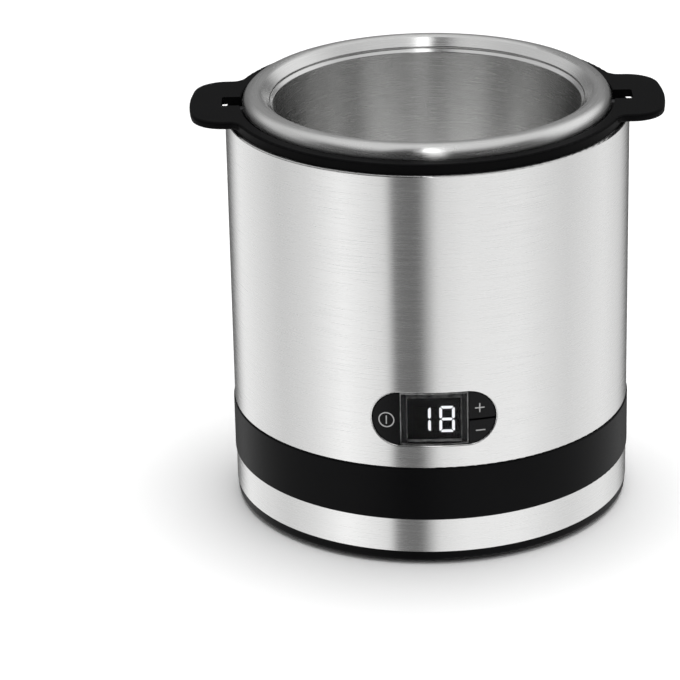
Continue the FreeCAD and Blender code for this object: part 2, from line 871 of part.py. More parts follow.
def gearbox_lid():
    """Lid under the gears, with the lower shaft seats and the spacers that carry the motor."""
    body = new_body("gearbox_lid")
    plate = new_sketch(body, "XY_Plane", lid_bottom)
    case_outline(plate, as_size(0))
    pad(body, plate, size.lid_thick)
    lug_bars(body, lid_bottom, size.lid_thick)
    spacers = circles(body, "XY_Plane", lid_bottom - size.motor_standoff, ear_places(), size.motor_ear_radius)
    pad(body, spacers, size.motor_standoff)
    foot_seat = circles(body, "XY_Plane", case_bottom, [(0.0, 0.0)], size.shaft_foot_radius + size.run_gap)
    pocket(body, foot_seat, size.shaft_seat)
    axle_seat = circles(body, "XY_Plane", case_bottom, [idler_place], size.axle_radius + size.press_gap)
    pocket(body, axle_seat, size.shaft_seat)
    rotor_hole = circles(body, "XY_Plane", case_bottom, [rotor_place],
                         size.motor_shaft_radius + size.screw_play)
    pocket(body, rotor_hole)
    holes = circles(body, "XY_Plane", case_bottom, lug_places, screw_hole)
    pocket(body, holes)
    ear_pilots = circles(body, "XY_Plane", lid_bottom - size.motor_standoff, ear_places(),
                         size.screw_radius + size.press_gap)
    pocket(body, ear_pilots, along_normal=True)


def ear_places():
    """Where the two ears of the motor are screwed to the lid."""
    turn = math.radians(size.motor_ear_turn.value)
    reach = size.motor_radius + size.motor_ear_out
    across = reach * math.cos(turn)
    back = reach * math.sin(turn)
    return [
        (rotor_place[0] + across, rotor_place[1] + back),
        (rotor_place[0] - across, rotor_place[1] - back),
    ]


def motor():
    """Flat synchronous motor with a collar round its shaft and two ears."""
    can = revolved("motor_can", [
        (0.0, motor_bottom),
        (size.motor_radius, motor_bottom, size.motor_round),
        (size.motor_radius, motor_top, size.motor_round),
        (size.motor_collar_radius, motor_top),
        (size.motor_collar_radius, lid_bottom),
        (size.motor_shaft_radius + size.run_gap, lid_bottom),
        (size.motor_shaft_radius + size.run_gap, motor_bottom + size.motor_standoff),
        (0.0, motor_bottom + size.motor_standoff),
    ])
    can.setExpression("Placement.Base.x", rotor_place[0].formula)
    can.setExpression("Placement.Base.y", rotor_place[1].formula)
    ear_under = motor_top - size.motor_ear_thick
    ears = [(across - rotor_place[0], back - rotor_place[1]) for across, back in ear_places()]
    for across, back in ears:
        ear = new_sketch(can, "XY_Plane", ear_under)
        draw_obround(ear, (across / 2, back / 2), (across, back), size.motor_ear_radius)
        pad(can, ear, size.motor_ear_thick)
    holes = circles(can, "XY_Plane", motor_top, ears, screw_hole)
    pocket(can, holes, size.motor_ear_thick)
    shank = size.motor_ear_thick + size.motor_standoff + size.lid_thick - size.screw_play
    screw_group("motor_screws", ear_places(), ear_under, shank)


# Gears

def involute(angle):
    return math.tan(angle) - angle


def polar(radius, angle):
    return FreeCAD.Vector(radius * math.cos(angle), radius * math.sin(angle), 0)


def arc_between(radius, first, last):
    middle = polar(radius, (first + last) / 2)
    return Part.Arc(polar(radius, first), middle, polar(radius, last)).toShape()


def gear_solid(module, teeth, tip_ratio, phase, bottom, width):
    """A spur gear with involute flanks, one tooth centred on the phase angle."""
    pitch = module * teeth / 2
    base = pitch * math.cos(PRESSURE_ANGLE)
    root = pitch - ROOT_RATIO * module
    tip = pitch + tip_ratio * module
    flank_start = max(base, root)
    half_at_pitch = math.pi / (2 * teeth) - size.tooth_slack.value / (2 * pitch)

    def half_tooth(radius):
        pressure = math.acos(min(1.0, base / radius))
        return half_at_pitch + involute(PRESSURE_ANGLE) - involute(pressure)

    low = half_tooth(flank_start)
    middle_radius = (flank_start + tip) / 2
    middle = half_tooth(middle_radius)
    high = half_tooth(tip)
    step = 2 * math.pi / teeth
    edges = []
    for index in range(teeth):
        axis = phase + index * step
        for side in (-1, 1):
            foot = polar(flank_start, axis + side * low)
            flank = Part.Arc(foot, polar(middle_radius, axis + side * middle), polar(tip, axis + side * high))
            edges.append(flank.toShape())
            if flank_start > root:
                edges.append(Part.LineSegment(polar(root, axis + side * low), foot).toShape())
        edges.append(arc_between(tip, axis - high, axis + high))
        edges.append(arc_between(root, axis + low, axis + step - low))
    outline = Part.Wire(Part.sortEdges(edges)[0])
    blank = Part.Face(outline).extrude(FreeCAD.Vector(0, 0, width))
    blank.translate(FreeCAD.Vector(0, 0, bottom))
    return blank


def turned_solid(radius, bottom, top):
    return Part.makeCylinder(radius, top - bottom, FreeCAD.Vector(0, 0, bottom))


def shaped_piece(label, solid, place):
    """A piece whose solid is worked out here, set at its place in plan."""
    piece = doc.addObject("Part::Feature", label)
    piece.Label = label
    piece.Shape = solid
    piece.Placement = FreeCAD.Placement(
        FreeCAD.Vector(as_size(place[0]).value, as_size(place[1]).value, 0), FreeCAD.Rotation())
    pieces.append(piece)


def gears():
    """Motor pinion, stepped idler and the slow output gear, in mesh."""
    pinion_teeth = int(size.pinion_teeth.value)
    wheel_teeth = int(size.wheel_teeth.value)
    fast = size.gear_module_fast.value
    slow = size.gear_module_slow.value
    wheel_gap = math.pi / wheel_teeth
    towards_output = -math.pi / 2

    wheel_bottom = wheel_level().value
    wheel_top = wheel_bottom + size.wheel_width.value
    slow_bottom = output_gear_level().value
    slow_top = slow_bottom + size.gear_width.value
    idler_top = slow_top + size.gear_step.value / 2
    wheel = gear_solid(fast, wheel_teeth, TIP_RATIO_WHEEL, rotor_turn + wheel_gap, wheel_bottom,
                       size.wheel_width.value)
    small = gear_solid(slow, pinion_teeth, TIP_RATIO_PINION, towards_output, wheel_top, idler_top - wheel_top)
    hub_bottom = case_bottom.value + size.screw_play.value
    hub = turned_solid((size.axle_radius + size.hub_wall).value, hub_bottom, wheel_bottom)
    idler_bore = turned_solid((size.axle_radius + size.run_gap).value, hub_bottom, idler_top)
    shaped_piece("idler_gear", wheel.fuse([small, hub]).cut(idler_bore).removeSplitter(), idler_place)

    pinion_bottom = wheel_bottom - size.screw_play.value
    pinion_top = wheel_top + size.screw_play.value
    pinion = gear_solid(fast, pinion_teeth, TIP_RATIO_PINION, rotor_turn + math.pi, pinion_bottom,
                        pinion_top - pinion_bottom)
    pinion_bore = turned_solid((size.motor_shaft_radius + size.press_gap).value, pinion_bottom, pinion_top)
    shaped_piece("motor_pinion", pinion.cut(pinion_bore), rotor_place)

    output = gear_solid(slow, wheel_teeth, TIP_RATIO_WHEEL, -towards_output + wheel_gap, slow_bottom,
                        size.gear_width.value)
    output_bore = turned_solid((size.shaft_radius + size.press_gap).value, slow_bottom, slow_top)
    shaped_piece("output_gear", output.cut(output_bore), (0.0, 0.0))


def wheel_level():
    """Underside of the idler's wheel, a hub's height above the lid."""
    return case_bottom + size.lid_thick


def output_gear_level():
    return wheel_level() + size.wheel_width + size.gear_step


def shafts():
    """Output shaft, idler axle and motor shaft."""
    gear_seat = output_gear_level()
    revolved("output_shaft", [
        (0.0, case_bottom - size.shaft_seat),
        (size.shaft_foot_radius, case_bottom - size.shaft_seat),
        (size.shaft_foot_radius, gear_seat - size.shaft_collar_height),
        (size.shaft_collar_radius, gear_seat - size.shaft_collar_height),
        (size.shaft_collar_radius, gear_seat),
        (size.shaft_radius, gear_seat),
        (size.shaft_radius, dog_bottom),
        (size.shaft_tip_radius, dog_bottom),
        (size.shaft_tip_radius, dog_top - size.shaft_seat),
        (0.0, dog_top - size.shaft_seat),
    ])
    axle = revolved("idler_axle", [
        (0.0, case_bottom - size.shaft_seat),
        (size.axle_radius, case_bottom - size.shaft_seat),
        (size.axle_radius, case_under_roof + size.shaft_seat),
        (0.0, case_under_roof + size.shaft_seat),
    ])
    axle.setExpression("Placement.Base.y", slow_distance.formula)
    shaft_bottom = lid_bottom - size.motor_height + size.screw_play
    shaft_top = wheel_level() + size.wheel_width + size.screw_play
    shaft = revolved("motor_shaft", [
        (0.0, shaft_bottom),
        (size.motor_shaft_radius, shaft_bottom),
        (size.motor_shaft_radius, shaft_top),
        (0.0, shaft_top),
    ])
    shaft.setExpression("Placement.Base.x", rotor_place[0].formula)
    shaft.setExpression("Placement.Base.y", rotor_place[1].formula)


def shaft_bearings():
    """Flanged bush in the roof of the gear case and the lip seal above it."""
    bore = size.shaft_radius + size.run_gap
    revolved("output_bush", [
        (bore, case_under_roof - size.bush_flange_height),
        (size.bush_flange_radius, case_under_roof - size.bush_flange_height),
        (size.bush_flange_radius, case_under_roof),
        (size.bush_radius, case_under_roof),
        (size.bush_radius, well_floor),
        (bore, well_floor),
    ])
    revolved("shaft_seal", [
        (bore, well_floor),
        (seal_radius, well_floor),
        (seal_radius, well_floor + size.collar_height),
        (bore, well_floor + size.collar_height),
    ])


def gearbox_fasteners():
    """Screws through the lid and the case into the bosses of the well."""
    shank = lug_top - lid_bottom + size.lug_drop - size.screw_play
    screw_group("gearbox_screws", lug_places, lid_bottom, shank)


# The coupling and the bowl

def cross_corners(half_width, arm, tip_round, root_round):
    """A cross with four equal arms, its tips and its roots rounded."""
    quarter = [
        (half_width, -arm, tip_round),
        (half_width, -half_width, root_round),
        (arm, -half_width, tip_round),
    ]
    corners = []
    for turn in range(4):
        for across, up, rounding in quarter:
            for _ in range(turn):
                across, up = -up, across
            corners.append((across, up, rounding))
    return corners


def drive_dog():
    """Cross-shaped coupling on the tip of the output shaft."""
    body = new_body("drive_dog")
    cross = new_sketch(body, "XY_Plane", dog_bottom)
    draw_loop(cross, cross_corners(size.dog_half_width, size.dog_arm, size.dog_tip_round,
                                   size.dog_root_round))
    pad(body, cross, size.dog_height)
    bore = circles(body, "XY_Plane", dog_bottom, [(0.0, 0.0)], size.shaft_tip_radius + size.press_gap)
    pocket(body, bore, size.dog_height - size.shaft_seat, along_normal=True)


def drive_socket():
    """Disc under the bowl with the cross-shaped hollow that the coupling enters."""
    body = revolved("drive_socket", [
        (0.0, socket_bottom),
        (size.socket_radius, socket_bottom, size.dog_tip_round),
        (size.socket_radius, shell_bottom),
        (0.0, shell_bottom),
    ])
    hollow = new_sketch(body, "XY_Plane", socket_bottom)
    draw_loop(hollow, cross_corners(size.dog_half_width + size.dog_play, size.dog_arm + size.dog_play,
                                    size.dog_tip_round, size.dog_root_round - size.dog_play))
    pocket(body, hollow, dog_top - socket_bottom, along_normal=True)


def inner_bowl():
    """Steel bowl: rolled rim, funnel, sloped step and a wall that narrows to a rounded floor."""
    wall = size.bowl_wall
    bend = wall * RIGHT_ANGLE_OFFSET
    revolved("inner_bowl", [
        (rim_radius - wall, lip_height),
        (rim_radius, lip_height),
        (rim_radius, crest_height, size.rim_outer_round),
        (crest_radius, crest_height, size.rim_inner_round),
        (throat_radius, funnel_level, size.bend_round),
        (throat_radius, throat_level, size.bend_round),
        (wall_top_radius, cone_level, size.bend_round),
        (wall_foot_radius, bowl_floor, size.bowl_floor_round),
        (0.0, bowl_floor),
        (0.0, bowl_floor - wall),
        (wall_foot_radius + wall, bowl_floor - wall, size.bowl_floor_round + wall),
        (wall_top_radius + wall, cone_level - bend, size.bend_round),
        (throat_radius + wall, throat_level - bend, size.bend_round),
        (throat_radius + wall, funnel_level - bend, size.bend_round),
        (crest_radius + bend, crest_height - wall, size.rim_inner_round - wall),
        (rim_radius - wall, crest_height - wall, size.rim_outer_round - wall),
    ])


def outer_shell():
    """Outer wall of the bowl, a tapered pan under the rim."""
    inner_top = shell_top_radius - size.shell_wall
    inner_floor = shell_foot_radius - size.shell_wall
    revolved("outer_shell", [
        (0.0, shell_bottom),
        (shell_foot_radius, shell_bottom, size.shell_floor_round),
        (shell_top_radius, shell_top),
        (inner_top, shell_top),
        (inner_floor, shell_floor, size.shell_floor_round - size.shell_wall),
        (0.0, shell_floor),
    ])


def coolant_gel():
    """The gel between the two walls, with headroom for it to swell."""
    gap = size.fit_gap
    level = sleeve_top - size.gel_headroom
    share_inner = (level - bowl_under) / (cone_level - bowl_under)
    inner_floor = wall_foot_radius + size.bowl_wall + gap
    inner_top = inner_floor + (wall_top_radius - wall_foot_radius) * share_inner
    share_outer = (level - shell_floor) / (shell_top - shell_floor)
    outer_floor = shell_foot_radius - size.shell_wall - gap
    outer_top = outer_floor + (shell_top_radius - shell_foot_radius) * share_outer
    revolved("coolant_gel", [
        (0.0, shell_floor),
        (outer_floor, shell_floor, size.shell_floor_round - size.shell_wall + gap),
        (outer_top, level),
        (inner_top, level),
        (inner_floor, bowl_under - gap, size.bowl_floor_round + size.bowl_wall),
        (0.0, bowl_under - gap),
    ])


def bowl_seal():
    """Round seal between the top of the outer wall and the crest of the rim."""
    ring = doc.addObject("Part::Torus", "bowl_seal")
    ring.Label = "bowl_seal"
    ring.setExpression("Radius1", seal_middle_radius.formula)
    ring.setExpression("Radius2", size.seal_wire.formula)
    ring.setExpression("Placement.Base.z", seal_middle_height.formula)
    pieces.append(ring)


def carrier_ring():
    """Ring that hangs in the well under the bowl's rim, with two handle tabs and latch slots."""
    ring_top = sleeve_top + size.ring_height
    ledge = lip_height - size.ring_ledge_drop
    bore = shell_top_radius + size.ring_bowl_gap
    skirt_radius = well_mouth - size.skirt_gap
    skirt_bottom = sleeve_top - size.skirt_depth
    hoop = revolved("carrier_hoop", [
        (bore, skirt_bottom),
        (skirt_radius, skirt_bottom),
        (skirt_radius, sleeve_top),
        (ring_radius, sleeve_top),
        (ring_radius, ring_top, size.ring_round),
        (ledge_radius, ring_top, size.bend_round),
        (ledge_radius, ledge),
        (bore, ledge),
    ])
    tab_root = ledge_radius + size.ring_rim_gap
    tabs = [handle_tab(side, ring_top, tab_root) for side in (-1, 1)]
    for side in (-1, 1):
        latch_slot(hoop, side)
    joined("carrier_ring", [hoop] + tabs)


def handle_tab(side, top, root):
    """One flat handle with rounded edges, cut to the curve of the ring at its root."""
    bottom = top - size.tab_thick
    name = "left" if side < 0 else "right"
    body = new_body(f"carrier_tab_{name}")
    plan = new_sketch(body, "XY_Plane", bottom)
    draw_loop(plan, tab_corners(side, root))
    pad(body, plan, size.tab_thick)

    def outer_edge(edge):
        box = edge.BoundBox
        level = box.ZLength < size.fit_gap.value
        return level and max(abs(box.XMin), abs(box.XMax)) > root.value

    rounded(body, size.tab_edge, outer_edge)
    trim_inside(body, root)
    latch_slot(body, side)
    return body


def latch_slot(body, side):
    """Slot for a lid's latch, right through at the root of a handle."""
    slot = new_sketch(body, "XY_Plane", sleeve_top)
    inner = rim_radius - size.slot_under
    outer = ring_radius + size.slot_beyond
    draw_loop(slot, rectangle(side * (inner + outer) / 2, as_size(0), outer - inner,
                              size.slot_half_width * 2, size.slot_round))
    pocket(body, slot, along_normal=True)


def tab_corners(side, root):
    """Plan of one handle tab: flared root, straight sides, rounded corners, crowned end."""
    reach = ring_radius + size.tab_length
    half = size.tab_half_width
    end_round = half * half * TAB_END_SHARE / size.tab_crown
    shoulder = ring_radius - size.tab_shoulder
    flared = half + size.tab_flare
    corners = [
        (root - size.tab_flare, -flared),
        (shoulder, -half, size.tab_flare_round),
        (reach - size.tab_crown, -half, size.tab_corner),
        (reach, as_size(0), end_round),
        (reach - size.tab_crown, half, size.tab_corner),
        (shoulder, half, size.tab_flare_round),
        (root - size.tab_flare, flared),
    ]
    return [(side * corner[0],) + corner[1:] for corner in corners]


# The control panel

def trim_outside(body, radius):
    """Cut away what stands outside an upright cylinder."""
    ring = new_sketch(body, "XY_Plane")
    draw_circle(ring, 0.0, 0.0, radius)
    draw_circle(ring, 0.0, 0.0, trim_away)
    pocket(body, ring, trim_away * 2, both_ways=True)


def trim_inside(body, radius):
    """Cut away what stands inside an upright cylinder."""
    disc = new_sketch(body, "XY_Plane")
    draw_circle(disc, 0.0, 0.0, radius)
    pocket(body, disc, trim_away * 2, both_ways=True)


def key_cap(label, side, part, key_level):
    """Key cap cut from the panel's outline, with a flange behind the frame and a stem to its switch."""
    body = new_body(label)
    flange = new_sketch(body, "XZ_Plane")
    panel_obround(flange, size.panel_gap - size.cap_flange)
    pad(body, flange, past_front)
    trim_outside(body, cap_flange_outer)
    head = new_sketch(body, "XZ_Plane")
    panel_obround(head, size.panel_gap)
    pad(body, head, past_front)
    trim_outside(body, cap_face)
    trim_inside(body, cap_flange_inner)
    lens_side = side * (size.lens_width / 2 + size.panel_gap)
    cut_beside(body, lens_side, lens_side - side * size.panel_width)
    split_level = panel_level - size.key_split_drop
    if part == "upper":
        cut_across(body, split_level + size.key_split_gap / 2, panel_level - size.panel_height)
    if part == "lower":
        cut_across(body, split_level - size.key_split_gap / 2, panel_level + size.panel_height)
    stem = circles(body, "XZ_Plane", plunger_front, [(side * size.key_reach, key_level)], size.plunger_radius)
    pad(body, stem, cap_flange_inner - plunger_front)


def cut_beside(body, edge, far):
    """Cut away the part of a panel piece between an upright edge and a far place."""
    cut_rectangle(body, edge, far, panel_level - size.panel_height, panel_level + size.panel_height)


def cut_across(body, edge, far):
    """Cut away the part of a panel piece between a level edge and a far height."""
    cut_rectangle(body, -size.panel_width, size.panel_width, edge, far)


def cut_rectangle(body, first, second, low, high):
    window = new_sketch(body, "XZ_Plane")
    draw_loop(window, [(first, low), (second, low), (second, high), (first, high)])
    pocket(body, window, along_normal=True)


def keys():
    """The three key caps, and under each the plunger of its switch."""
    upper = panel_level + size.key_spread
    lower = panel_level - size.key_spread
    rows = (
        ("power", -1, "whole", panel_level),
        ("plus", 1, "upper", upper),
        ("minus", 1, "lower", lower),
    )
    for name, side, part, level in rows:
        key_cap(f"{name}_button", side, part, level)
        plunger = new_body(f"{name}_plunger")
        start = plunger_front - size.plunger_length
        disc = circles(plunger, "XZ_Plane", start, [(side * size.key_reach, level)], size.plunger_radius)
        pad(plunger, disc, size.plunger_length)
    return [(side * size.key_reach, level) for _, side, _, level in rows]


def key_switches(places):
    """Push switches on the board, each with the bore that its plunger slides in."""
    body = new_body("key_switches")
    for across, level in places:
        block = new_sketch(body, "XZ_Plane", board_front)
        draw_loop(block, rectangle(across, level, size.switch_side, size.switch_side))
        pad(body, block, size.switch_height)
    bores = circles(body, "XZ_Plane", switch_front, places, size.plunger_radius + size.run_gap)
    pocket(body, bores, size.plunger_length - size.plunger_out + size.cap_travel + size.screw_play)


def panel_frame():
    """Curved frame behind the sleeve, with windows for the lens and keys and posts for the board."""
    body = new_body("panel_frame")
    plate = new_sketch(body, "XZ_Plane")
    frame_bottom = belt_top + size.spigot_up
    frame_top = panel_level + size.frame_rise
    draw_loop(plate, rectangle(as_size(0), (frame_bottom + frame_top) / 2,
                               size.board_width + size.frame_over * 2, frame_top - frame_bottom,
                               size.frame_round))
    pad(body, plate, past_front)
    trim_inside(body, frame_inner)
    posts = circles(body, "XZ_Plane", board_front, board_posts(), size.board_post_radius)
    pad(body, posts, frame_inner - board_front)
    trim_outside(body, frame_outer)
    window = new_sketch(body, "XZ_Plane")
    panel_obround(window, as_size(0))
    pocket(body, window, along_normal=True)
    pilots = circles(body, "XZ_Plane", board_front, board_posts(),
                     size.board_screw_radius + size.press_gap)
    pocket(body, pilots, size.board_screw_grip, along_normal=True)


def board_posts():
    reach = size.board_width / 2 - size.board_post_inset
    rise = board_height / 2 - size.board_post_inset
    return [(reach * side, panel_level + rise * level) for side, level in CORNERS]


def display_lens():
    """Clear tray between the keys: a window at the front, walls round the display, a flange behind."""
    body = new_body("display_lens")
    height = size.panel_height - size.panel_gap * 2
    flange = new_sketch(body, "XZ_Plane")
    flange_width = size.lens_width - size.cap_flange * 2 - size.panel_gap
    draw_loop(flange, rectangle(as_size(0), panel_level, flange_width, height + size.cap_flange * 2))
    pad(body, flange, past_front)
    trim_outside(body, frame_inner - size.press_gap)
    face = new_sketch(body, "XZ_Plane")
    draw_loop(face, rectangle(as_size(0), panel_level, size.lens_width, height))
    pad(body, face, past_front)
    trim_outside(body, cap_face)
    trim_inside(body, frame_inner - size.lens_flange_thick)
    hollow = new_sketch(body, "XZ_Plane")
    draw_loop(hollow, rectangle(as_size(0), panel_level, size.window_width, size.window_height))
    pocket(body, hollow, lens_back, along_normal=True)


def display_block():
    """Two-digit display that stands on the board and reaches into the clear tray."""
    body = new_body("display_block")
    block = new_sketch(body, "XZ_Plane", board_front)
    draw_loop(block, rectangle(as_size(0), panel_level, size.window_width - size.display_gap * 2,
                               size.window_height - size.display_gap * 2))
    pad(body, block, lens_back - size.display_gap - board_front)


def control_board():
    """Board behind the panel, and the screws that hold it to the frame."""
    board = new_body("control_board")
    plate = new_sketch(board, "XZ_Plane", board_back)
    draw_loop(plate, rectangle(as_size(0), panel_level, size.board_width, board_height))
    pad(board, plate, size.board_thick)
    holes = circles(board, "XZ_Plane", board_front, board_posts(),
                    size.board_screw_radius + size.fit_gap)
    pocket(board, holes)
    screws = new_body("board_screws")
    head_back = board_back - size.board_screw_head_height
    heads = circles(screws, "XZ_Plane", head_back, board_posts(), size.board_screw_head_radius)
    pad(screws, heads, size.board_screw_head_height)
    shanks = circles(screws, "XZ_Plane", board_back, board_posts(), size.board_screw_radius)
    pad(screws, shanks, size.board_thick + size.board_screw_grip - size.screw_play)


# The power supply

def power_supply():
    """Supply board on the posts of the base plate, with its transformer and capacitor."""
    middle = -supply_front + size.supply_length / 2
    board = new_body("power_board")
    plate = new_sketch(board, "XY_Plane", supply_bottom)
    draw_loop(plate, rectangle(as_size(0), middle, size.supply_width, size.supply_length))
    pad(board, plate, size.board_thick)

    coil_middle = -supply_front + size.coil_block_inset
    coil = new_body("transformer")
    core = new_sketch(coil, "XY_Plane", supply_top)
    draw_loop(core, rectangle(-size.coil_block_x, coil_middle, size.coil_block_width,
                              size.coil_block_length - size.coil_flange * 2))
    pad(coil, core, size.coil_block_height)
    winding = new_sketch(coil, "XY_Plane", supply_top + size.coil_flange)
    draw_loop(winding, rectangle(-size.coil_block_x, coil_middle, size.winding_width,
                                 size.coil_block_length, size.coil_flange))
    pad(coil, winding, size.coil_block_height - size.coil_flange * 2)

    can = revolved("capacitor", [
        (0.0, supply_top),
        (size.capacitor_radius, supply_top),
        (size.capacitor_radius, supply_top + size.capacitor_height, size.bend_round),
        (0.0, supply_top + size.capacitor_height),
    ])
    can.setExpression("Placement.Base.x", size.capacitor_x.formula)
    can.setExpression("Placement.Base.y", (-supply_front + size.capacitor_inset).formula)


def leads():
    """Flat leads that rise from the supply board: one to the control board and one to the motor."""
    panel_start = -supply_front + size.panel_lead_inset
    panel_rise = panel_level - size.panel_lead_drop
    flat_lead("panel_lead", size.panel_lead_x, size.panel_lead_width, panel_start, -board_back, panel_rise)
    motor_start = -supply_front + size.motor_lead_inset
    motor_side = rotor_place[1] - size.motor_radius
    flat_lead("motor_lead", rotor_place[0], size.motor_lead_width, motor_start, motor_side,
              motor_bottom + size.motor_lead_rise)


def flat_lead(label, across, width, start, end, level):
    """A flat lead that goes up from the supply board and turns level towards its far end."""
    half = size.lead_thick / 2
    side = 1 if end.value > start.value else -1
    inner = size.lead_bend
    body = new_body(label)
    outline = new_sketch(body, "YZ_Plane", across - width / 2)
    draw_loop(outline, [
        (start - side * half, supply_top),
        (start + side * half, supply_top),
        (start + side * half, level - half, inner),
        (end, level - half),
        (end, level + half),
        (start - side * half, level + half, inner + size.lead_thick),
    ])
    pad(body, outline, width)


def build():
    outer_sleeve()
    belt_housing()
    trim_ring()
    base_plate()
    feet()
    base_fasteners()
    cord_gland()
    bowl_well()
    gearbox_case()
    gearbox_lid()
    motor()
    gears()
    shafts()
    shaft_bearings()
    gearbox_fasteners()
    drive_dog()
    drive_socket()
    inner_bowl()
    outer_shell()
    coolant_gel()
    bowl_seal()
    carrier_ring()
    key_switches(keys())
    panel_frame()
    display_lens()
    display_block()
    control_board()
    power_supply()
    leads()


def write_pieces():
    """Check every object and every piece, then write one file per piece."""
    doc.recompute()
    for item in doc.Objects:
        if "Invalid" in item.State or "Error" in item.State:
            raise RuntimeError(f"{item.Label} failed: {item.State}")
    for piece in pieces:
        if piece.Shape.isNull() or not piece.Shape.isValid() or not piece.Shape.Solids:
            raise RuntimeError(f"{piece.Label} has no sound solid")
    os.makedirs("parts", exist_ok=True)
    for piece in pieces:
        piece.Shape.exportStep(f"parts/{piece.Label}.step")
        print(piece.Label, len(piece.Shape.Solids), round(piece.Shape.Volume, 1))


build()
write_pieces()
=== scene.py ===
# %% [markdown]
# A small frozen-yogurt maker stands on a pale table: a brushed steel base with a timer panel, and a
# steel bowl that hangs in a black ring with two handle tabs. Its solids come ready-made, in metres,
# in one frame. This lesson gives each of them a finish, adds the thin details that solids leave
# out, and lights the result.

# %% Load the solids
import json
import math

import bmesh
import bpy
from mathutils import Matrix, Vector


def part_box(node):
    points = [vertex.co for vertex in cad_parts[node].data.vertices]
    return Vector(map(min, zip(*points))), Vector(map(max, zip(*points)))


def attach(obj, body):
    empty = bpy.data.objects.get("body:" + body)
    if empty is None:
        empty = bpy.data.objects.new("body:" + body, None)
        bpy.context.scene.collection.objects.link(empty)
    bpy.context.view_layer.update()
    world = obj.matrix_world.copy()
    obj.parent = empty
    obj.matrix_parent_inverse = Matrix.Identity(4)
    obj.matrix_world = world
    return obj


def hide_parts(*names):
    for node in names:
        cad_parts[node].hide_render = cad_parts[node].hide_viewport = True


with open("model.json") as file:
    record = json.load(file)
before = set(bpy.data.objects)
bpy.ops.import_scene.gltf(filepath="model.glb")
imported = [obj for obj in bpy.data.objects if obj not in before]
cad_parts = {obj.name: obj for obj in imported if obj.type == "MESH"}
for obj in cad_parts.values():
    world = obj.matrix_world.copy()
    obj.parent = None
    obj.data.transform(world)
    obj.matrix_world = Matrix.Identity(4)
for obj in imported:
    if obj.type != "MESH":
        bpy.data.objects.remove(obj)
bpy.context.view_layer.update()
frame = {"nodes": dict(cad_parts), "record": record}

scene = bpy.context.scene

# %% [markdown]
# The camera stands about 1.3 m away with a long lens and looks down by some 23 degrees, as for a
# catalogue picture. A camera looks along its own -Z, so its matrix has three columns: right, up and
# backwards. Building the matrix from a heading, a tilt and a small roll keeps each of them a number
# that can be turned by itself.

# %% Camera
CAMERA_PLACE = Vector((-0.02159, -1.23674, 0.57996))
CAMERA_HEADING = math.radians(-0.6503)
CAMERA_TILT = math.radians(22.7525)
CAMERA_ROLL = math.radians(-1.3168)
LENS_MM = 178.71
SENSOR_MM = 36.0
FARTHEST = 20.0

level_heading = Vector((math.sin(CAMERA_HEADING), math.cos(CAMERA_HEADING), 0.0))
forward = level_heading * math.cos(CAMERA_TILT) - Vector((0.0, 0.0, math.sin(CAMERA_TILT)))
right = forward.cross(Vector((0.0, 0.0, 1.0))).normalized()
up = right.cross(forward)
roll_turn = Matrix.Rotation(-CAMERA_ROLL, 3, forward)
camera_axes = Matrix((roll_turn @ right, roll_turn @ up, -forward)).transposed()

camera_data = bpy.data.cameras.new("studio_camera")
camera_data.lens = LENS_MM
camera_data.sensor_width = SENSOR_MM
camera_data.clip_end = FARTHEST
camera = bpy.data.objects.new("studio_camera", camera_data)
camera.matrix_world = Matrix.Translation(CAMERA_PLACE) @ camera_axes.to_4x4()
scene.collection.objects.link(camera)
scene.camera = camera
print("camera at", [round(part, 3) for part in CAMERA_PLACE])

# %% [markdown]
# Every finish starts from a Principled shader, and its nodes are added one by one. Three small
# helpers keep the cells below short: one opens a new finish, one adds a node with its settings, and
# one does arithmetic on sockets and numbers. All patterns read Object coordinates. They are metres
# here, so a scale of 1000 means about a millimetre.

# %% Helpers for finishes
finishes = {}


def new_finish(name):
    finish = bpy.data.materials.new(name)
    finish.use_nodes = True
    finishes[name] = finish
    return finish.node_tree, finish.node_tree.nodes["Principled BSDF"]


def add_node(tree, kind, **settings):
    node = tree.nodes.new(kind)
    for setting, value in settings.items():
        setattr(node, setting, value)
    return node


def math_node(tree, operation, first, second):
    node = add_node(tree, "ShaderNodeMath", operation=operation)
    for socket, value in zip(node.inputs, (first, second)):
        if isinstance(value, bpy.types.NodeSocket):
            tree.links.new(value, socket)
        else:
            socket.default_value = value
    return node.outputs[0]


print("helpers ready")

# %% [markdown]
# Most patterns here are noise: a soft cloud for colour that varies a little, a fine grain for a
# moulded skin. The first helper takes the size of one speck in metres, because that is what can be
# measured on an object. The others use the noise: one spreads it over the values of a socket, one
# mixes two tones by it, and one turns it into relief.

# %% Noise by speck size
NOISE_LOW, NOISE_HIGH = 0.3, 0.7


def specks(tree, size, detail=2.0, coordinates=None):
    noise = add_node(tree, "ShaderNodeTexNoise")
    noise.inputs["Scale"].default_value = 1.0 / size
    noise.inputs["Detail"].default_value = detail
    if coordinates is None:
        coordinates = add_node(tree, "ShaderNodeTexCoord").outputs["Object"]
    tree.links.new(coordinates, noise.inputs["Vector"])
    return noise.outputs["Fac"]


def spread(tree, value, lowest, highest):
    span = add_node(tree, "ShaderNodeMapRange")
    span.inputs["From Min"].default_value = NOISE_LOW
    span.inputs["From Max"].default_value = NOISE_HIGH
    span.inputs["To Min"].default_value = lowest
    span.inputs["To Max"].default_value = highest
    tree.links.new(value, span.inputs["Value"])
    return span.outputs["Result"]


def two_tones(tree, value, first, second):
    mix = add_node(tree, "ShaderNodeMix", data_type="RGBA")
    mix.inputs["A"].default_value = (*first, 1.0)
    mix.inputs["B"].default_value = (*second, 1.0)
    tree.links.new(value, mix.inputs["Factor"])
    return mix.outputs["Result"]


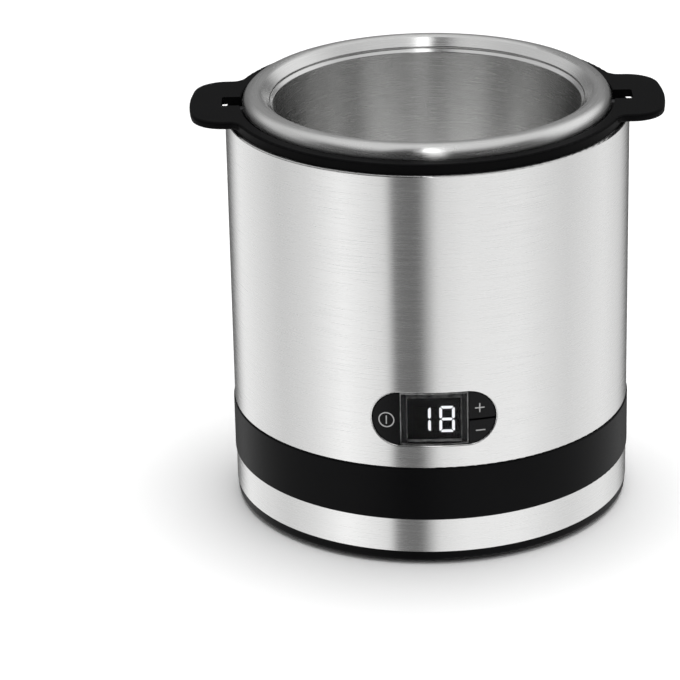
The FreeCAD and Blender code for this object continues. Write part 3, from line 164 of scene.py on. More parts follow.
def relief(tree, shader, height, depth, strength):
    bump = add_node(tree, "ShaderNodeBump")
    bump.inputs["Distance"].default_value = depth
    bump.inputs["Strength"].default_value = strength
    tree.links.new(height, bump.inputs["Height"])
    tree.links.new(bump.outputs["Normal"], shader.inputs["Normal"])


print("noise helpers ready")

# %% [markdown]
# The sleeve and the trim ring are brushed while they turn, so their fine scratches run round the
# axis. Noise that is squeezed hard along the height and hardly at all round the circle gives such
# scratches. The helper takes the direction from the axis and adds the radius to the height, so that
# it also works on a floor.

# %% Coordinates for turned and brushed metal
def turned_coordinates(tree, around, fineness):
    place = add_node(tree, "ShaderNodeSeparateXYZ")
    tree.links.new(add_node(tree, "ShaderNodeTexCoord").outputs["Object"], place.inputs[0])
    across, back, height = place.outputs
    across_square = math_node(tree, "POWER", across, 2.0)
    back_square = math_node(tree, "POWER", back, 2.0)
    radius = math_node(tree, "SQRT", math_node(tree, "ADD", across_square, back_square), 0.0)
    turned = add_node(tree, "ShaderNodeCombineXYZ")
    for socket, value in zip(turned.inputs, (across, back)):
        share = math_node(tree, "DIVIDE", value, radius)
        tree.links.new(math_node(tree, "MULTIPLY", share, around), socket)
    reach = math_node(tree, "ADD", radius, height)
    tree.links.new(math_node(tree, "DIVIDE", reach, fineness), turned.inputs[2])
    return turned.outputs[0]


print("turned coordinates ready")

# %% [markdown]
# A scratch scatters light across itself and hardly along itself. In the shader that is anisotropy:
# a radial tangent about Z follows the circle, and a quarter turn spreads the highlight up and down
# the wall, which gives the tall bright and dark bands of a brushed tube. Each call gives the two
# tones, the width of a scratch, the smoothest and roughest spot, the anisotropy and the depth of
# the relief.

# %% Brushed and turned steel
SCRATCHES_ROUND = 5.0
SCRATCH_DETAIL = 3.0
SCRATCH_RELIEF = 0.25
QUARTER_TURN = 0.25


def turned_steel(name, dark, bright, scratch, smoothest, roughest, anisotropy, depth):
    tree, shader = new_finish(name)
    coordinates = turned_coordinates(tree, SCRATCHES_ROUND, scratch)
    lines = specks(tree, 1.0, SCRATCH_DETAIL, coordinates)
    tone = two_tones(tree, spread(tree, lines, 0.0, 1.0), dark, bright)
    tree.links.new(tone, shader.inputs["Base Color"])
    tree.links.new(spread(tree, lines, smoothest, roughest), shader.inputs["Roughness"])
    relief(tree, shader, lines, depth, SCRATCH_RELIEF)
    shader.inputs["Metallic"].default_value = 1.0
    shader.inputs["Anisotropic"].default_value = anisotropy
    shader.inputs["Anisotropic Rotation"].default_value = QUARTER_TURN
    tangent = add_node(tree, "ShaderNodeTangent", direction_type="RADIAL", axis="Z")
    tree.links.new(tangent.outputs[0], shader.inputs["Tangent"])


turned_steel("brushed_steel", (0.725, 0.725, 0.72), (0.86, 0.86, 0.855),
             0.0003, 0.178, 0.298, 0.9, 0.0000015)
turned_steel("bowl_steel", (0.78, 0.78, 0.775), (0.88, 0.88, 0.875),
             0.0003, 0.20, 0.28, 0.85, 0.000003)
turned_steel("shell_grey", (0.62, 0.62, 0.61), (0.74, 0.74, 0.73),
             0.0005, 0.32, 0.44, 0.5, 0.000015)
turned_steel("shaft_steel", (0.62, 0.62, 0.62), (0.76, 0.76, 0.76),
             0.0002, 0.18, 0.28, 0.6, 0.000006)
print("steel finishes:", len(finishes))

# %% [markdown]
# A steel sleeve like this one is a sheet that is rolled to a tube and welded where its ends meet,
# at the back. The weld is ground flat, so it could be left out, but a thin line of duller metal
# stays on the real thing. The finish asks for points near x = 0 on the far side, and mixes a darker
# tone in there.

# %% Weld seam at the back
SEAM_WIDTH = 0.0006
SEAM_TONE = (0.48, 0.48, 0.475, 1.0)
tree = finishes["brushed_steel"].node_tree
shader = tree.nodes["Principled BSDF"]
plain = shader.inputs["Base Color"].links[0].from_socket
axes = add_node(tree, "ShaderNodeSeparateXYZ")
tree.links.new(add_node(tree, "ShaderNodeTexCoord").outputs["Object"], axes.inputs[0])
off_middle = math_node(tree, "ABSOLUTE", axes.outputs[0], 0.0)
near_middle = math_node(tree, "LESS_THAN", off_middle, SEAM_WIDTH / 2)
at_back = math_node(tree, "GREATER_THAN", axes.outputs[1], 0.0)
seam = add_node(tree, "ShaderNodeMix", data_type="RGBA")
seam.inputs["B"].default_value = SEAM_TONE
tree.links.new(math_node(tree, "MULTIPLY", near_middle, at_back), seam.inputs["Factor"])
tree.links.new(plain, seam.inputs["A"])
tree.links.new(seam.outputs["Result"], shader.inputs["Base Color"])
print("seam", SEAM_WIDTH * 1000, "mm wide")

# %% [markdown]
# Black moulded plastic is never one flat black. The mould's spark-eroded wall leaves a fine grain,
# which breaks up the highlight, and the skin has faint cloudy patches where it cooled at another
# speed. One helper makes all the moulded finishes. Each call gives the colour, the size of a patch,
# the smoothest and roughest spot, the grain's size and depth, and how much the skin shines.

# %% Moulded plastics and rubbers
PATCH_LIFT = 1.25
CLOUD_DETAIL = 3.0
GRAIN_RELIEF = 0.5


def moulded(name, colour, patch, smoothest, roughest, grain, depth, shine=0.5):
    tree, shader = new_finish(name)
    shader.inputs["Specular IOR Level"].default_value = shine
    clouds = specks(tree, patch, CLOUD_DETAIL)
    lighter = [min(1.0, part * PATCH_LIFT) for part in colour]
    tone = two_tones(tree, spread(tree, clouds, 0.0, 1.0), colour, lighter)
    tree.links.new(tone, shader.inputs["Base Color"])
    skin = specks(tree, grain)
    tree.links.new(spread(tree, skin, smoothest, roughest), shader.inputs["Roughness"])
    relief(tree, shader, skin, depth, GRAIN_RELIEF)


moulded("belt_black", (0.003, 0.003, 0.0034), 0.03, 0.30, 0.42, 0.0004, 0.00002, 0.06)
moulded("carrier_black", (0.003, 0.003, 0.0032), 0.02, 0.40, 0.55, 0.0005, 0.00003, 0.04)
moulded("key_black", (0.004, 0.004, 0.0045), 0.01, 0.26, 0.34, 0.0003, 0.00001, 0.14)
moulded("display_black", (0.0015, 0.0015, 0.0017), 0.01, 0.26, 0.34, 0.0003, 0.000005, 0.03)
moulded("foot_rubber", (0.020, 0.020, 0.020), 0.006, 0.65, 0.85, 0.0004, 0.00004)
moulded("seal_rubber", (0.060, 0.060, 0.065), 0.006, 0.60, 0.80, 0.0004, 0.00003)
moulded("well_plastic", (0.040, 0.040, 0.042), 0.03, 0.42, 0.58, 0.0006, 0.00004)
moulded("socket_black", (0.030, 0.030, 0.032), 0.01, 0.40, 0.55, 0.0004, 0.00002)
moulded("case_grey", (0.30, 0.31, 0.32), 0.02, 0.45, 0.60, 0.0006, 0.00004)
moulded("gear_white", (0.66, 0.65, 0.61), 0.004, 0.30, 0.42, 0.0005, 0.00001)
moulded("lead_grey", (0.38, 0.39, 0.41), 0.008, 0.50, 0.65, 0.0004, 0.00002)
print("finishes so far:", len(finishes))

# %% [markdown]
# Plated and cut metals inside the base: zinc plate shows the patchy crystals called spangle, brass
# is smooth with faint tool marks, and a sintered bush is full of tiny pores. A Voronoi texture
# gives crystals and pores alike, since it divides a surface into cells. Each call gives the two
# tones, the size of a cell, the smoothest and roughest spot, and the depth of the relief.

# %% Plated, cut and sintered metals
CELL_RELIEF = 0.3


def crystal_metal(name, dark, bright, cell, smoothest, roughest, depth):
    tree, shader = new_finish(name)
    cells = add_node(tree, "ShaderNodeTexVoronoi")
    cells.inputs["Scale"].default_value = 1.0 / cell
    tree.links.new(add_node(tree, "ShaderNodeTexCoord").outputs["Object"], cells.inputs["Vector"])
    off_centre = cells.outputs["Distance"]
    tree.links.new(two_tones(tree, off_centre, dark, bright), shader.inputs["Base Color"])
    tree.links.new(spread(tree, off_centre, smoothest, roughest), shader.inputs["Roughness"])
    relief(tree, shader, off_centre, depth, CELL_RELIEF)
    shader.inputs["Metallic"].default_value = 1.0


crystal_metal("motor_steel", (0.52, 0.52, 0.50), (0.66, 0.66, 0.65), 0.004, 0.28, 0.45, 0.000005)
crystal_metal("screw_steel", (0.56, 0.56, 0.55), (0.70, 0.70, 0.69), 0.0012, 0.25, 0.40, 0.000005)
crystal_metal("pinion_brass", (0.70, 0.53, 0.23), (0.82, 0.66, 0.33), 0.001, 0.20, 0.32, 0.000004)
crystal_metal("bush_bronze", (0.40, 0.27, 0.13), (0.64, 0.45, 0.24), 0.0003, 0.40, 0.60, 0.00003)
print("finishes so far:", len(finishes))

# %% [markdown]
# A circuit board is green lacquer over copper. The copper lines show through as a lighter green, in
# straight runs that turn at right angles, and a brick texture with thin mortar gives just such
# lines. The lacquer is glossy, and slightly raised where a line runs under it.

# %% Circuit boards
tree, shader = new_finish("board_green")
lines = add_node(tree, "ShaderNodeTexBrick", offset=0.37, squash=0.6)
lines.inputs["Scale"].default_value = 120.0
lines.inputs["Mortar Size"].default_value = 0.035
lines.inputs["Color1"].default_value = (0.012, 0.105, 0.045, 1.0)
lines.inputs["Color2"].default_value = (0.016, 0.125, 0.055, 1.0)
lines.inputs["Mortar"].default_value = (0.07, 0.26, 0.11, 1.0)
tree.links.new(add_node(tree, "ShaderNodeTexCoord").outputs["Object"], lines.inputs["Vector"])
tree.links.new(lines.outputs["Color"], shader.inputs["Base Color"])
tree.links.new(spread(tree, specks(tree, 0.002), 0.22, 0.34), shader.inputs["Roughness"])
relief(tree, shader, lines.outputs["Fac"], 0.00003, 0.4)
print("board finish:", finishes["board_green"].name)

# %% [markdown]
# The transformer's core is a stack of thin steel sheets, seen as fine lines on its sides, and its
# winding is wrapped in amber tape. Both are one solid, so the finish asks how high a point is: the
# winding sits between the core's two flanges. A wave texture along the height gives the sheets.

# %% Transformer
WINDING_SHARE = 0.3
coil_low, coil_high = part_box("transformer")
coil_middle = (coil_low + coil_high) / 2
tree, shader = new_finish("coil_steel")
place = add_node(tree, "ShaderNodeTexCoord").outputs["Object"]
sheets = add_node(tree, "ShaderNodeTexWave", bands_direction="Z")
sheets.inputs["Scale"].default_value = 300.0
sheets.inputs["Distortion"].default_value = 0.4
tree.links.new(place, sheets.inputs["Vector"])
axes = add_node(tree, "ShaderNodeSeparateXYZ")
tree.links.new(place, axes.inputs[0])
above_middle = math_node(tree, "SUBTRACT", axes.outputs[2], coil_middle.z)
off_middle = math_node(tree, "ABSOLUTE", above_middle, 0.0)
wrapped = math_node(tree, "LESS_THAN", off_middle, (coil_high.z - coil_low.z) * WINDING_SHARE)
core_tone = two_tones(tree, sheets.outputs["Fac"], (0.10, 0.10, 0.105), (0.22, 0.22, 0.225))
tape_tone = two_tones(tree, specks(tree, 0.003), (0.42, 0.20, 0.03), (0.55, 0.29, 0.06))
wrap = add_node(tree, "ShaderNodeMix", data_type="RGBA")
for socket, value in zip(("Factor", "A", "B"), (wrapped, core_tone, tape_tone)):
    tree.links.new(value, wrap.inputs[socket])
tree.links.new(wrap.outputs["Result"], shader.inputs["Base Color"])
tree.links.new(spread(tree, specks(tree, 0.001), 0.35, 0.55), shader.inputs["Roughness"])
relief(tree, shader, sheets.outputs["Fac"], 0.00005, 0.4)
print("winding up to", WINDING_SHARE, "of the height from the middle")

# %% [markdown]
# The capacitor is an aluminium can in a dark blue sleeve, which leaves the top bare. Height tells
# the two apart here as well: the same test that picks the tone also makes only the top a metal.

# %% Capacitor
BARE_TOP = 0.0004
tree, shader = new_finish("can_aluminium")
can_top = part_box("capacitor")[1].z
axes = add_node(tree, "ShaderNodeSeparateXYZ")
tree.links.new(add_node(tree, "ShaderNodeTexCoord").outputs["Object"], axes.inputs[0])
bare = math_node(tree, "GREATER_THAN", axes.outputs[2], can_top - BARE_TOP)
can_tone = two_tones(tree, bare, (0.03, 0.05, 0.12), (0.70, 0.71, 0.73))
tree.links.new(can_tone, shader.inputs["Base Color"])
tree.links.new(bare, shader.inputs["Metallic"])
tree.links.new(spread(tree, specks(tree, 0.0008), 0.25, 0.40), shader.inputs["Roughness"])
print("can bare above", round((can_top - BARE_TOP) * 1000, 1), "mm")

# %% [markdown]
# The window over the display is clear acrylic, and the bowl's wall holds a blue cooling gel. Both
# let light through. The acrylic has a skin against glare, and a low index gives its weak
# reflections. The gel is cloudy, so most of its light scatters inside. Their constant values are
# set on the shader itself.

# %% Clear window and cooling gel
tree, shader = new_finish("clear_lens")
shader.inputs["Transmission Weight"].default_value = 1.0
shader.inputs["IOR"].default_value = 1.16
tint = two_tones(tree, specks(tree, 0.01), (0.90, 0.90, 0.91), (0.96, 0.96, 0.97))
tree.links.new(tint, shader.inputs["Base Color"])
tree.links.new(spread(tree, specks(tree, 0.002), 0.01, 0.03), shader.inputs["Roughness"])

tree, shader = new_finish("gel_blue")
shader.inputs["Subsurface Weight"].default_value = 0.6
shader.inputs["Subsurface Scale"].default_value = 0.004
cloud = two_tones(tree, specks(tree, 0.012, 4.0), (0.22, 0.44, 0.64), (0.36, 0.60, 0.78))
tree.links.new(cloud, shader.inputs["Base Color"])
tree.links.new(spread(tree, specks(tree, 0.003), 0.20, 0.32), shader.inputs["Roughness"])
print("finishes so far:", len(finishes))

# %% [markdown]
# The record lists which finish each solid takes, by name, and the finishes above carry the same
# names. So one loop dresses every solid. A solid's mesh stays as it is, and only its material slots
# change.

# %% Dress the solids
slot_of = {part["node"]: part["material_slot"] for part in frame["record"]["subparts"]}
for name, solid in frame["nodes"].items():
    for holder in solid.material_slots:
        holder.material = finishes[slot_of[name]]
print("dressed", len(slot_of), "solids with", len(set(slot_of.values())), "finishes")

# %% [markdown]
# The new pieces are small: a window, a gasket, the bars of two digits and three printed signs. Flat
# ones are modelled lying down and raised to a thickness. The signs then go onto the curve of their
# keys, with x as the way round from the front, y as the height and z as the distance outwards.
# Rolling a flat shape keeps its measures along the surface, as a sheet of print does when it is
# stuck on a tin.

# %% Helpers for pieces
CREASE = math.radians(35.0)


def roll(mesh, radius):
    for vert in mesh.verts:
        turn = vert.co.x / radius
        reach = radius + vert.co.z
        vert.co = Vector((reach * math.sin(turn), -reach * math.cos(turn), vert.co.y))


def raise_up(mesh, thickness):
    sheet = bmesh.ops.extrude_face_region(mesh, geom=mesh.faces[:])
    lifted = [part for part in sheet["geom"] if isinstance(part, bmesh.types.BMVert)]
    bmesh.ops.translate(mesh, verts=lifted, vec=(0.0, 0.0, thickness))


def add_piece(mesh, name, worn, body, slot, *stands_for):
    bmesh.ops.recalc_face_normals(mesh, faces=mesh.faces)
    data = bpy.data.meshes.new(name)
    mesh.to_mesh(data)
    mesh.free()
    for finish in worn:
        data.materials.append(finishes[finish])
    data.shade_smooth()
    data.set_sharp_from_angle(angle=CREASE)
    piece = bpy.data.objects.new(name, data)
    scene.collection.objects.link(piece)
    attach(piece, body)
    if stands_for:
        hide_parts(*stands_for)
    print(name, "has", len(data.polygons), "faces")


window_low, window_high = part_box("display_lens")
panel_level = (window_low.z + window_high.z) / 2
print("panel centre at", round(panel_level * 1000, 1), "mm")

# %% [markdown]
# The window is one clear moulding: a face between the keys, and a wall round the display behind it.
# The solid has sharp edges, but a moulded one has small slopes that catch the light, so this piece
# is modelled again. It starts as a block. A hollow with sloping sides is sunk into its back, a
# little below the middle, and the front's edges are bevelled.

# %% Window block
FLANGE = 0.001
WINDOW_BACK = -0.0727
window_size = window_high - window_low
window_front = window_low.y
face_height = window_size.z - FLANGE * 2
window = bmesh.new()
block = bmesh.ops.create_cube(window, size=1.0)["verts"]
depth = WINDOW_BACK - window_front
bmesh.ops.scale(window, vec=(window_size.x, depth, face_height), verts=block)
bmesh.ops.translate(window, vec=(0.0, window_front + depth / 2, panel_level), verts=block)
print("window block of", len(window.faces), "faces")

# %% Hollow for the display
RIM_WIDTH = 0.001
HOLLOW_WIDTH = 0.0210
HOLLOW_HEIGHT = 0.0186
HOLLOW_DROP = 0.0006
HOLLOW_SLOPE = 0.96
FACE_THICK = 0.0012
POLISHED, FROSTED, MASKED = range(3)
back = max(window.faces, key=lambda face: face.calc_center_median().y)
rim = bmesh.ops.inset_region(window, faces=[back], thickness=RIM_WIDTH)["faces"]
centre = Matrix.Translation((0.0, 0.0, HOLLOW_DROP - panel_level))
inner_width = max(vert.co.x for vert in back.verts) * 2
inner_height = max(vert.co.z - panel_level for vert in back.verts) * 2
wanted = (HOLLOW_WIDTH / inner_width, 1.0, HOLLOW_HEIGHT / inner_height)
bmesh.ops.translate(window, vec=(0.0, 0.0, -HOLLOW_DROP), verts=back.verts)
bmesh.ops.scale(window, vec=wanted, space=centre, verts=back.verts)
sunk = bmesh.ops.extrude_discrete_faces(window, faces=[back])["faces"][0]
sink = window_front + FACE_THICK - WINDOW_BACK
bmesh.ops.translate(window, vec=(0.0, sink, 0.0), verts=sunk.verts)
bmesh.ops.scale(window, vec=(HOLLOW_SLOPE, 1.0, HOLLOW_SLOPE), space=centre, verts=sunk.verts)
for face in rim:
    face.material_index = MASKED
for face in {side for edge in sunk.edges for side in edge.link_faces} - {sunk}:
    face.material_index = FROSTED
print("hollow", HOLLOW_WIDTH * 1000, "mm wide")

# %% [markdown]
# Only the front of the window follows the sleeve's curve, because the display behind it is flat. So
# the block is cut into upright strips, and each point of the front then goes back by the height of
# the circle's arc. The bevels and the hollow's sides are frosted, the rest is polished, and black
# paint masks the rim at the back, as on real windows.

# %% Window front
BEVEL = 0.00042
STRIPS = 16
front = min(window.faces, key=lambda face: face.calc_center_median().y)
edged = bmesh.ops.bevel(window, geom=front.edges[:], offset=BEVEL, offset_type="OFFSET",
                        affect="EDGES", segments=1, profile=0.5, material=-1)
for face in edged["faces"]:
    face.material_index = FROSTED
for strip in range(1, STRIPS):
    across = window_low.x + window_size.x * strip / STRIPS
    everything = window.verts[:] + window.edges[:] + window.faces[:]
    bmesh.ops.bisect_plane(window, geom=everything, plane_co=(across, 0.0, 0.0),
                           plane_no=(1.0, 0.0, 0.0))
for vert in window.verts:
    if vert.co.y < window_front + BEVEL * 2:
        vert.co.y -= window_front + math.sqrt(window_front ** 2 - vert.co.x ** 2)
print("window front in", STRIPS, "strips")

# %% [markdown]
# Frosted acrylic scatters what passes through it. A grey base with a rough skin and a little
# transmission is enough on strips that are half a millimetre wide, and noise keeps them uneven, as
# moulded edges are.

# %% Dress the window
moulded("mask_paint", (0.016, 0.016, 0.017), 0.004, 0.40, 0.55, 0.0004, 0.000008, 0.3)
tree, shader = new_finish("frosted_edge")
shader.inputs["Transmission Weight"].default_value = 0.3
uneven = spread(tree, specks(tree, 0.002, 4.0), 0.0, 1.0)
frost = two_tones(tree, uneven, (0.13, 0.13, 0.13), (0.66, 0.66, 0.66))
tree.links.new(frost, shader.inputs["Base Color"])
tree.links.new(spread(tree, specks(tree, 0.0006), 0.40, 0.60), shader.inputs["Roughness"])
window_finishes = {POLISHED: "clear_lens", FROSTED: "frosted_edge", MASKED: "mask_paint"}
add_piece(window, "window", window_finishes.values(), "base", "clear_lens", "display_lens")

# %% [markdown]
# Between the display and the window's wall lies a soft black gasket, which keeps light and dust off
# the board behind it. It is a flat frame whose hole is the display's outline. A grid of three by
# three faces gives it: the inner points go to the display's corners, the outer ones nearly to the
# window's wall, the middle face is deleted, and the rest is raised to a thickness.

# %% Gasket round the display
GASKET_THICK = 0.0008
GASKET_BACK = -0.0728
GASKET_PLAY = 0.00015
GRID_HALF = 1.5
GRID_SPLIT = 1.0
block_low, block_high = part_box("display_block")
block_size = block_high - block_low
gasket = bmesh.new()
bmesh.ops.create_grid(gasket, x_segments=3, y_segments=3, size=GRID_HALF)
for vert in gasket.verts:
    at_side, at_end = abs(vert.co.x) > GRID_SPLIT, abs(vert.co.y) > GRID_SPLIT
    across = HOLLOW_WIDTH / 2 - GASKET_PLAY if at_side else block_size.x / 2
    rise = HOLLOW_HEIGHT / 2 - GASKET_PLAY if at_end else block_size.z / 2
    drop = HOLLOW_DROP if at_end else 0.0
    vert.co.x = math.copysign(across, vert.co.x)
    vert.co.y = math.copysign(rise, vert.co.y) - drop
middle = min(gasket.faces, key=lambda face: face.calc_center_median().length)
bmesh.ops.delete(gasket, geom=[middle], context="FACES_ONLY")
raise_up(gasket, GASKET_THICK)
upright = Matrix.Rotation(math.radians(90.0), 4, "X")
upright.translation = (0.0, GASKET_BACK, panel_level)
bmesh.ops.transform(gasket, matrix=upright, verts=gasket.verts)
add_piece(gasket, "display_gasket", ("display_black",), "base", "seal_rubber")

# %% [markdown]
# The display shows two digits of seven bars each. A lit bar glows evenly, and an unlit one is a
# dark grey that hardly shows. The lit finish is an emission a little under a strength of 1, which
# would be plain white on the screen, and a trace of noise keeps it from being quite even, as with
# real light guides.

# %% Lit, unlit and printed finishes
tree, shader = new_finish("digit_lit")
glow = two_tones(tree, specks(tree, 0.001), (0.86, 0.87, 0.88), (0.97, 0.98, 1.0))
tree.links.new(glow, shader.inputs["Emission Color"])
shader.inputs["Emission Strength"].default_value = 0.9
shader.inputs["Base Color"].default_value = (0.3, 0.3, 0.3, 1.0)
moulded("digit_unlit", (0.0025, 0.0025, 0.0025), 0.002, 0.35, 0.45, 0.0003, 0.000005, 0.03)
moulded("key_print", (0.48, 0.48, 0.48), 0.002, 0.45, 0.60, 0.0002, 0.000004)
print("finishes so far:", len(finishes))

# %% [markdown]
# One bar is a strip with three points at each end. Where two bars meet at a corner of the digit,
# their ends are mitred: the inner point steps back by the bar's width, and the other two by less,
# which blunts the corner. Where bars meet at the waist, the two outer points step back. A turn then
# brings the bar to its side of the digit.

# %% Bars of the display
DIGIT_WIDTH = 0.00582
DIGIT_HEIGHT = 0.01074
BAR_WIDTH = 0.00106
BAR_GAP = 0.00036
MITRE, POINT = "mitre", "point"
STEPS_BACK = {MITRE: {1: 0.45, 0: 0.40, -1: 1.0}, POINT: {1: 0.5, 0: 0.0, -1: 0.5}}


def add_bar(mesh, middle, length, turn, ends):
    strip = bmesh.ops.create_grid(mesh, x_segments=1, y_segments=2, size=1.0)["verts"]
    for vert in strip:
        end = ends[1] if vert.co.x > 0.0 else ends[0]
        vert.co.x *= length / 2 - STEPS_BACK[end][round(vert.co.y)] * BAR_WIDTH
        vert.co.y *= BAR_WIDTH / 2
    bmesh.ops.rotate(mesh, verts=strip, matrix=Matrix.Rotation(math.radians(turn), 3, "Z"))
    bmesh.ops.translate(mesh, verts=strip, vec=(*middle, 0.0))


corner_gap = BAR_GAP / math.sqrt(2.0)
across_reach = DIGIT_WIDTH - corner_gap * 2
waist_reach = across_reach - BAR_WIDTH
upright_reach = DIGIT_HEIGHT / 2 - corner_gap * 2
side_place = (DIGIT_WIDTH - BAR_WIDTH) / 2
top_place = (DIGIT_HEIGHT - BAR_WIDTH) / 2
half_place = DIGIT_HEIGHT / 4
BAR_PLACES = {
    "top": ((0.0, top_place), across_reach, 0.0, (MITRE, MITRE)),
    "middle": ((0.0, 0.0), waist_reach, 0.0, (POINT, POINT)),
    "bottom": ((0.0, -top_place), across_reach, 180.0, (MITRE, MITRE)),
    "upper_left": ((-side_place, half_place), upright_reach, 90.0, (POINT, MITRE)),
    "lower_left": ((-side_place, -half_place), upright_reach, 90.0, (MITRE, POINT)),
    "upper_right": ((side_place, half_place), upright_reach, -90.0, (MITRE, POINT)),
    "lower_right": ((side_place, -half_place), upright_reach, -90.0, (POINT, MITRE)),
}
print(len(BAR_PLACES), "bars in a digit")

# %% [markdown]
# The display shows 18 minutes, so the first digit lights two bars and the second all seven. The
# bars stand on the front face of the display, whose place is read from its box. They sit a little
# under the panel's middle, because the window's thickness lifts what lies behind it when it is seen
# from above.

# %% Digits
BAR_RISE = 0.00015
DIGIT_DROP = 0.0011
DIGIT_PITCH = 0.00899
SECOND_DIGIT_X = 0.00487
LIT_BARS = {-1: ("upper_right", "lower_right"), 0: tuple(BAR_PLACES)}


def add_digits(name, finish, lit):
    mesh = bmesh.new()
    for place, lit_bars in LIT_BARS.items():
        shift = SECOND_DIGIT_X + place * DIGIT_PITCH
        for bar, ((across, rise), reach, bar_turn, ends) in BAR_PLACES.items():
            if (bar in lit_bars) == lit:
                add_bar(mesh, (across + shift, rise), reach, bar_turn, ends)
    raise_up(mesh, BAR_RISE)
    upright.translation = (0.0, block_low.y, panel_level - DIGIT_DROP)
    bmesh.ops.transform(mesh, matrix=upright, verts=mesh.verts)
    add_piece(mesh, name, (finish,), "base", "gear_white")


add_digits("digits_lit", "digit_lit", True)
add_digits("digits_unlit", "digit_unlit", False)

# %% [markdown]
# The keys carry printed signs. Ink is thin, so each sign stands only a few hundredths of a
# millimetre proud. The power sign is a ring round a bar: a short edge spun all the way round makes
# the ring. The plus grows from one small square whose four edges are extruded, and the minus is a
# square with two.

# %% Printed signs
SIGN_RISE = 0.00004
SIGN_STROKE = 0.00044
SIGN_SPAN = 0.0037
SIGN_GAP = 0.00002
PLUS_PLACE = (0.0172, 0.00375)
MINUS_PLACE = (0.0175, -0.0055)
cap_low, cap_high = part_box("power_button")
cap_radius = math.hypot(cap_high.x, cap_low.y)


def small_square(mesh, size):
    return bmesh.ops.create_grid(mesh, x_segments=1, y_segments=1, size=size / 2)["verts"]


def grow_edges(mesh, ways, reach):
    for way in ways:
        edge = max(mesh.edges, key=lambda side: (side.verts[0].co + side.verts[1].co).dot(way))
        grown = bmesh.ops.extrude_edge_only(mesh, edges=[edge])
        moved = [part for part in grown["geom"] if isinstance(part, bmesh.types.BMVert)]
        bmesh.ops.translate(mesh, verts=moved, vec=way * reach)


def print_sign(mesh, name, body, middle):
    bmesh.ops.subdivide_edges(mesh, edges=mesh.edges, cuts=2, use_grid_fill=True)
    raise_up(mesh, SIGN_RISE)
    way_round = math.asin(middle[0] / cap_radius) * cap_radius
    bmesh.ops.translate(mesh, verts=mesh.verts, vec=(way_round, panel_level + middle[1], 0.0))
    roll(mesh, cap_radius + SIGN_GAP)
    add_piece(mesh, name, ("key_print",), body, "gear_white")


LEFT, RIGHT = Vector((-1, 0, 0)), Vector((1, 0, 0))
DOWN, UP = Vector((0, -1, 0)), Vector((0, 1, 0))
sign_reach = (SIGN_SPAN - SIGN_STROKE) / 2
plus = bmesh.new()
small_square(plus, SIGN_STROKE)
grow_edges(plus, (LEFT, RIGHT, DOWN, UP), sign_reach)
print_sign(plus, "plus_sign", "plus_key", PLUS_PLACE)
minus = bmesh.new()
small_square(minus, SIGN_STROKE)
grow_edges(minus, (LEFT, RIGHT), sign_reach)
print_sign(minus, "minus_sign", "minus_key", MINUS_PLACE)

# %% Power sign
POWER_RADIUS = 0.00309
POWER_BAR = 0.0034
POWER_PLACE = (-0.018, -0.0006)
RING_STEPS = 48
power = bmesh.new()
ends = [power.verts.new((0.0, POWER_RADIUS - inset, 0.0)) for inset in (0.0, SIGN_STROKE)]
start = power.edges.new(ends)
bmesh.ops.spin(power, geom=[*ends, start], axis=(0.0, 0.0, 1.0), cent=(0.0, 0.0, 0.0),
               angle=math.tau, steps=RING_STEPS, use_merge=True)
bar = small_square(power, SIGN_STROKE)
bmesh.ops.scale(power, verts=bar, vec=(1.0, POWER_BAR / SIGN_STROKE, 1.0))
print_sign(power, "power_sign", "power_key", POWER_PLACE)

# %% [markdown]
# The stage is a large pale floor. The camera sees it as pure white paper, so that it fades into the
# backdrop and only the soft contact shadow stays, while light that bounces off it comes from a
# slightly greyer sheet. Light Path tells the two kinds of ray apart. Mirrors look past the floor to
# the room that the next cells make, which has a table of its own.

# %% Floor
FLOOR_HALF = 4.0
BOUNCING_PAPER = (0.80, 0.80, 0.80)
SEEN_PAPER = (1.0, 1.0, 1.0)
sheet = bmesh.new()
bmesh.ops.create_grid(sheet, x_segments=8, y_segments=8, size=FLOOR_HALF)
floor_data = bpy.data.meshes.new("floor")
sheet.to_mesh(floor_data)
sheet.free()
floor = bpy.data.objects.new("floor", floor_data)
scene.collection.objects.link(floor)
floor.visible_glossy = False

tree, shader = new_finish("paper_floor")
ray = add_node(tree, "ShaderNodeLightPath")
paper = two_tones(tree, ray.outputs["Is Camera Ray"], BOUNCING_PAPER, SEEN_PAPER)
tree.links.new(paper, shader.inputs["Base Color"])
shader.inputs["Roughness"].default_value = 1.0
shader.inputs["Specular IOR Level"].default_value = 0.0
floor_data.materials.append(finishes["paper_floor"])
print("floor of", round(floor.dimensions.x, 1), "m")

# %% [markdown]
# What steel shows is the room round it. A photographer stands white panels beside the camera and
# leaves a dark gap between them, and the brushed tube turns that gap into its tall dark band. The
# world here is that room. A ramp over the compass gives the panels and gaps: each stop is a bearing
# in degrees from the camera, with a level of light. The table, the walls' foot, the walls and the
# ceiling have one each.

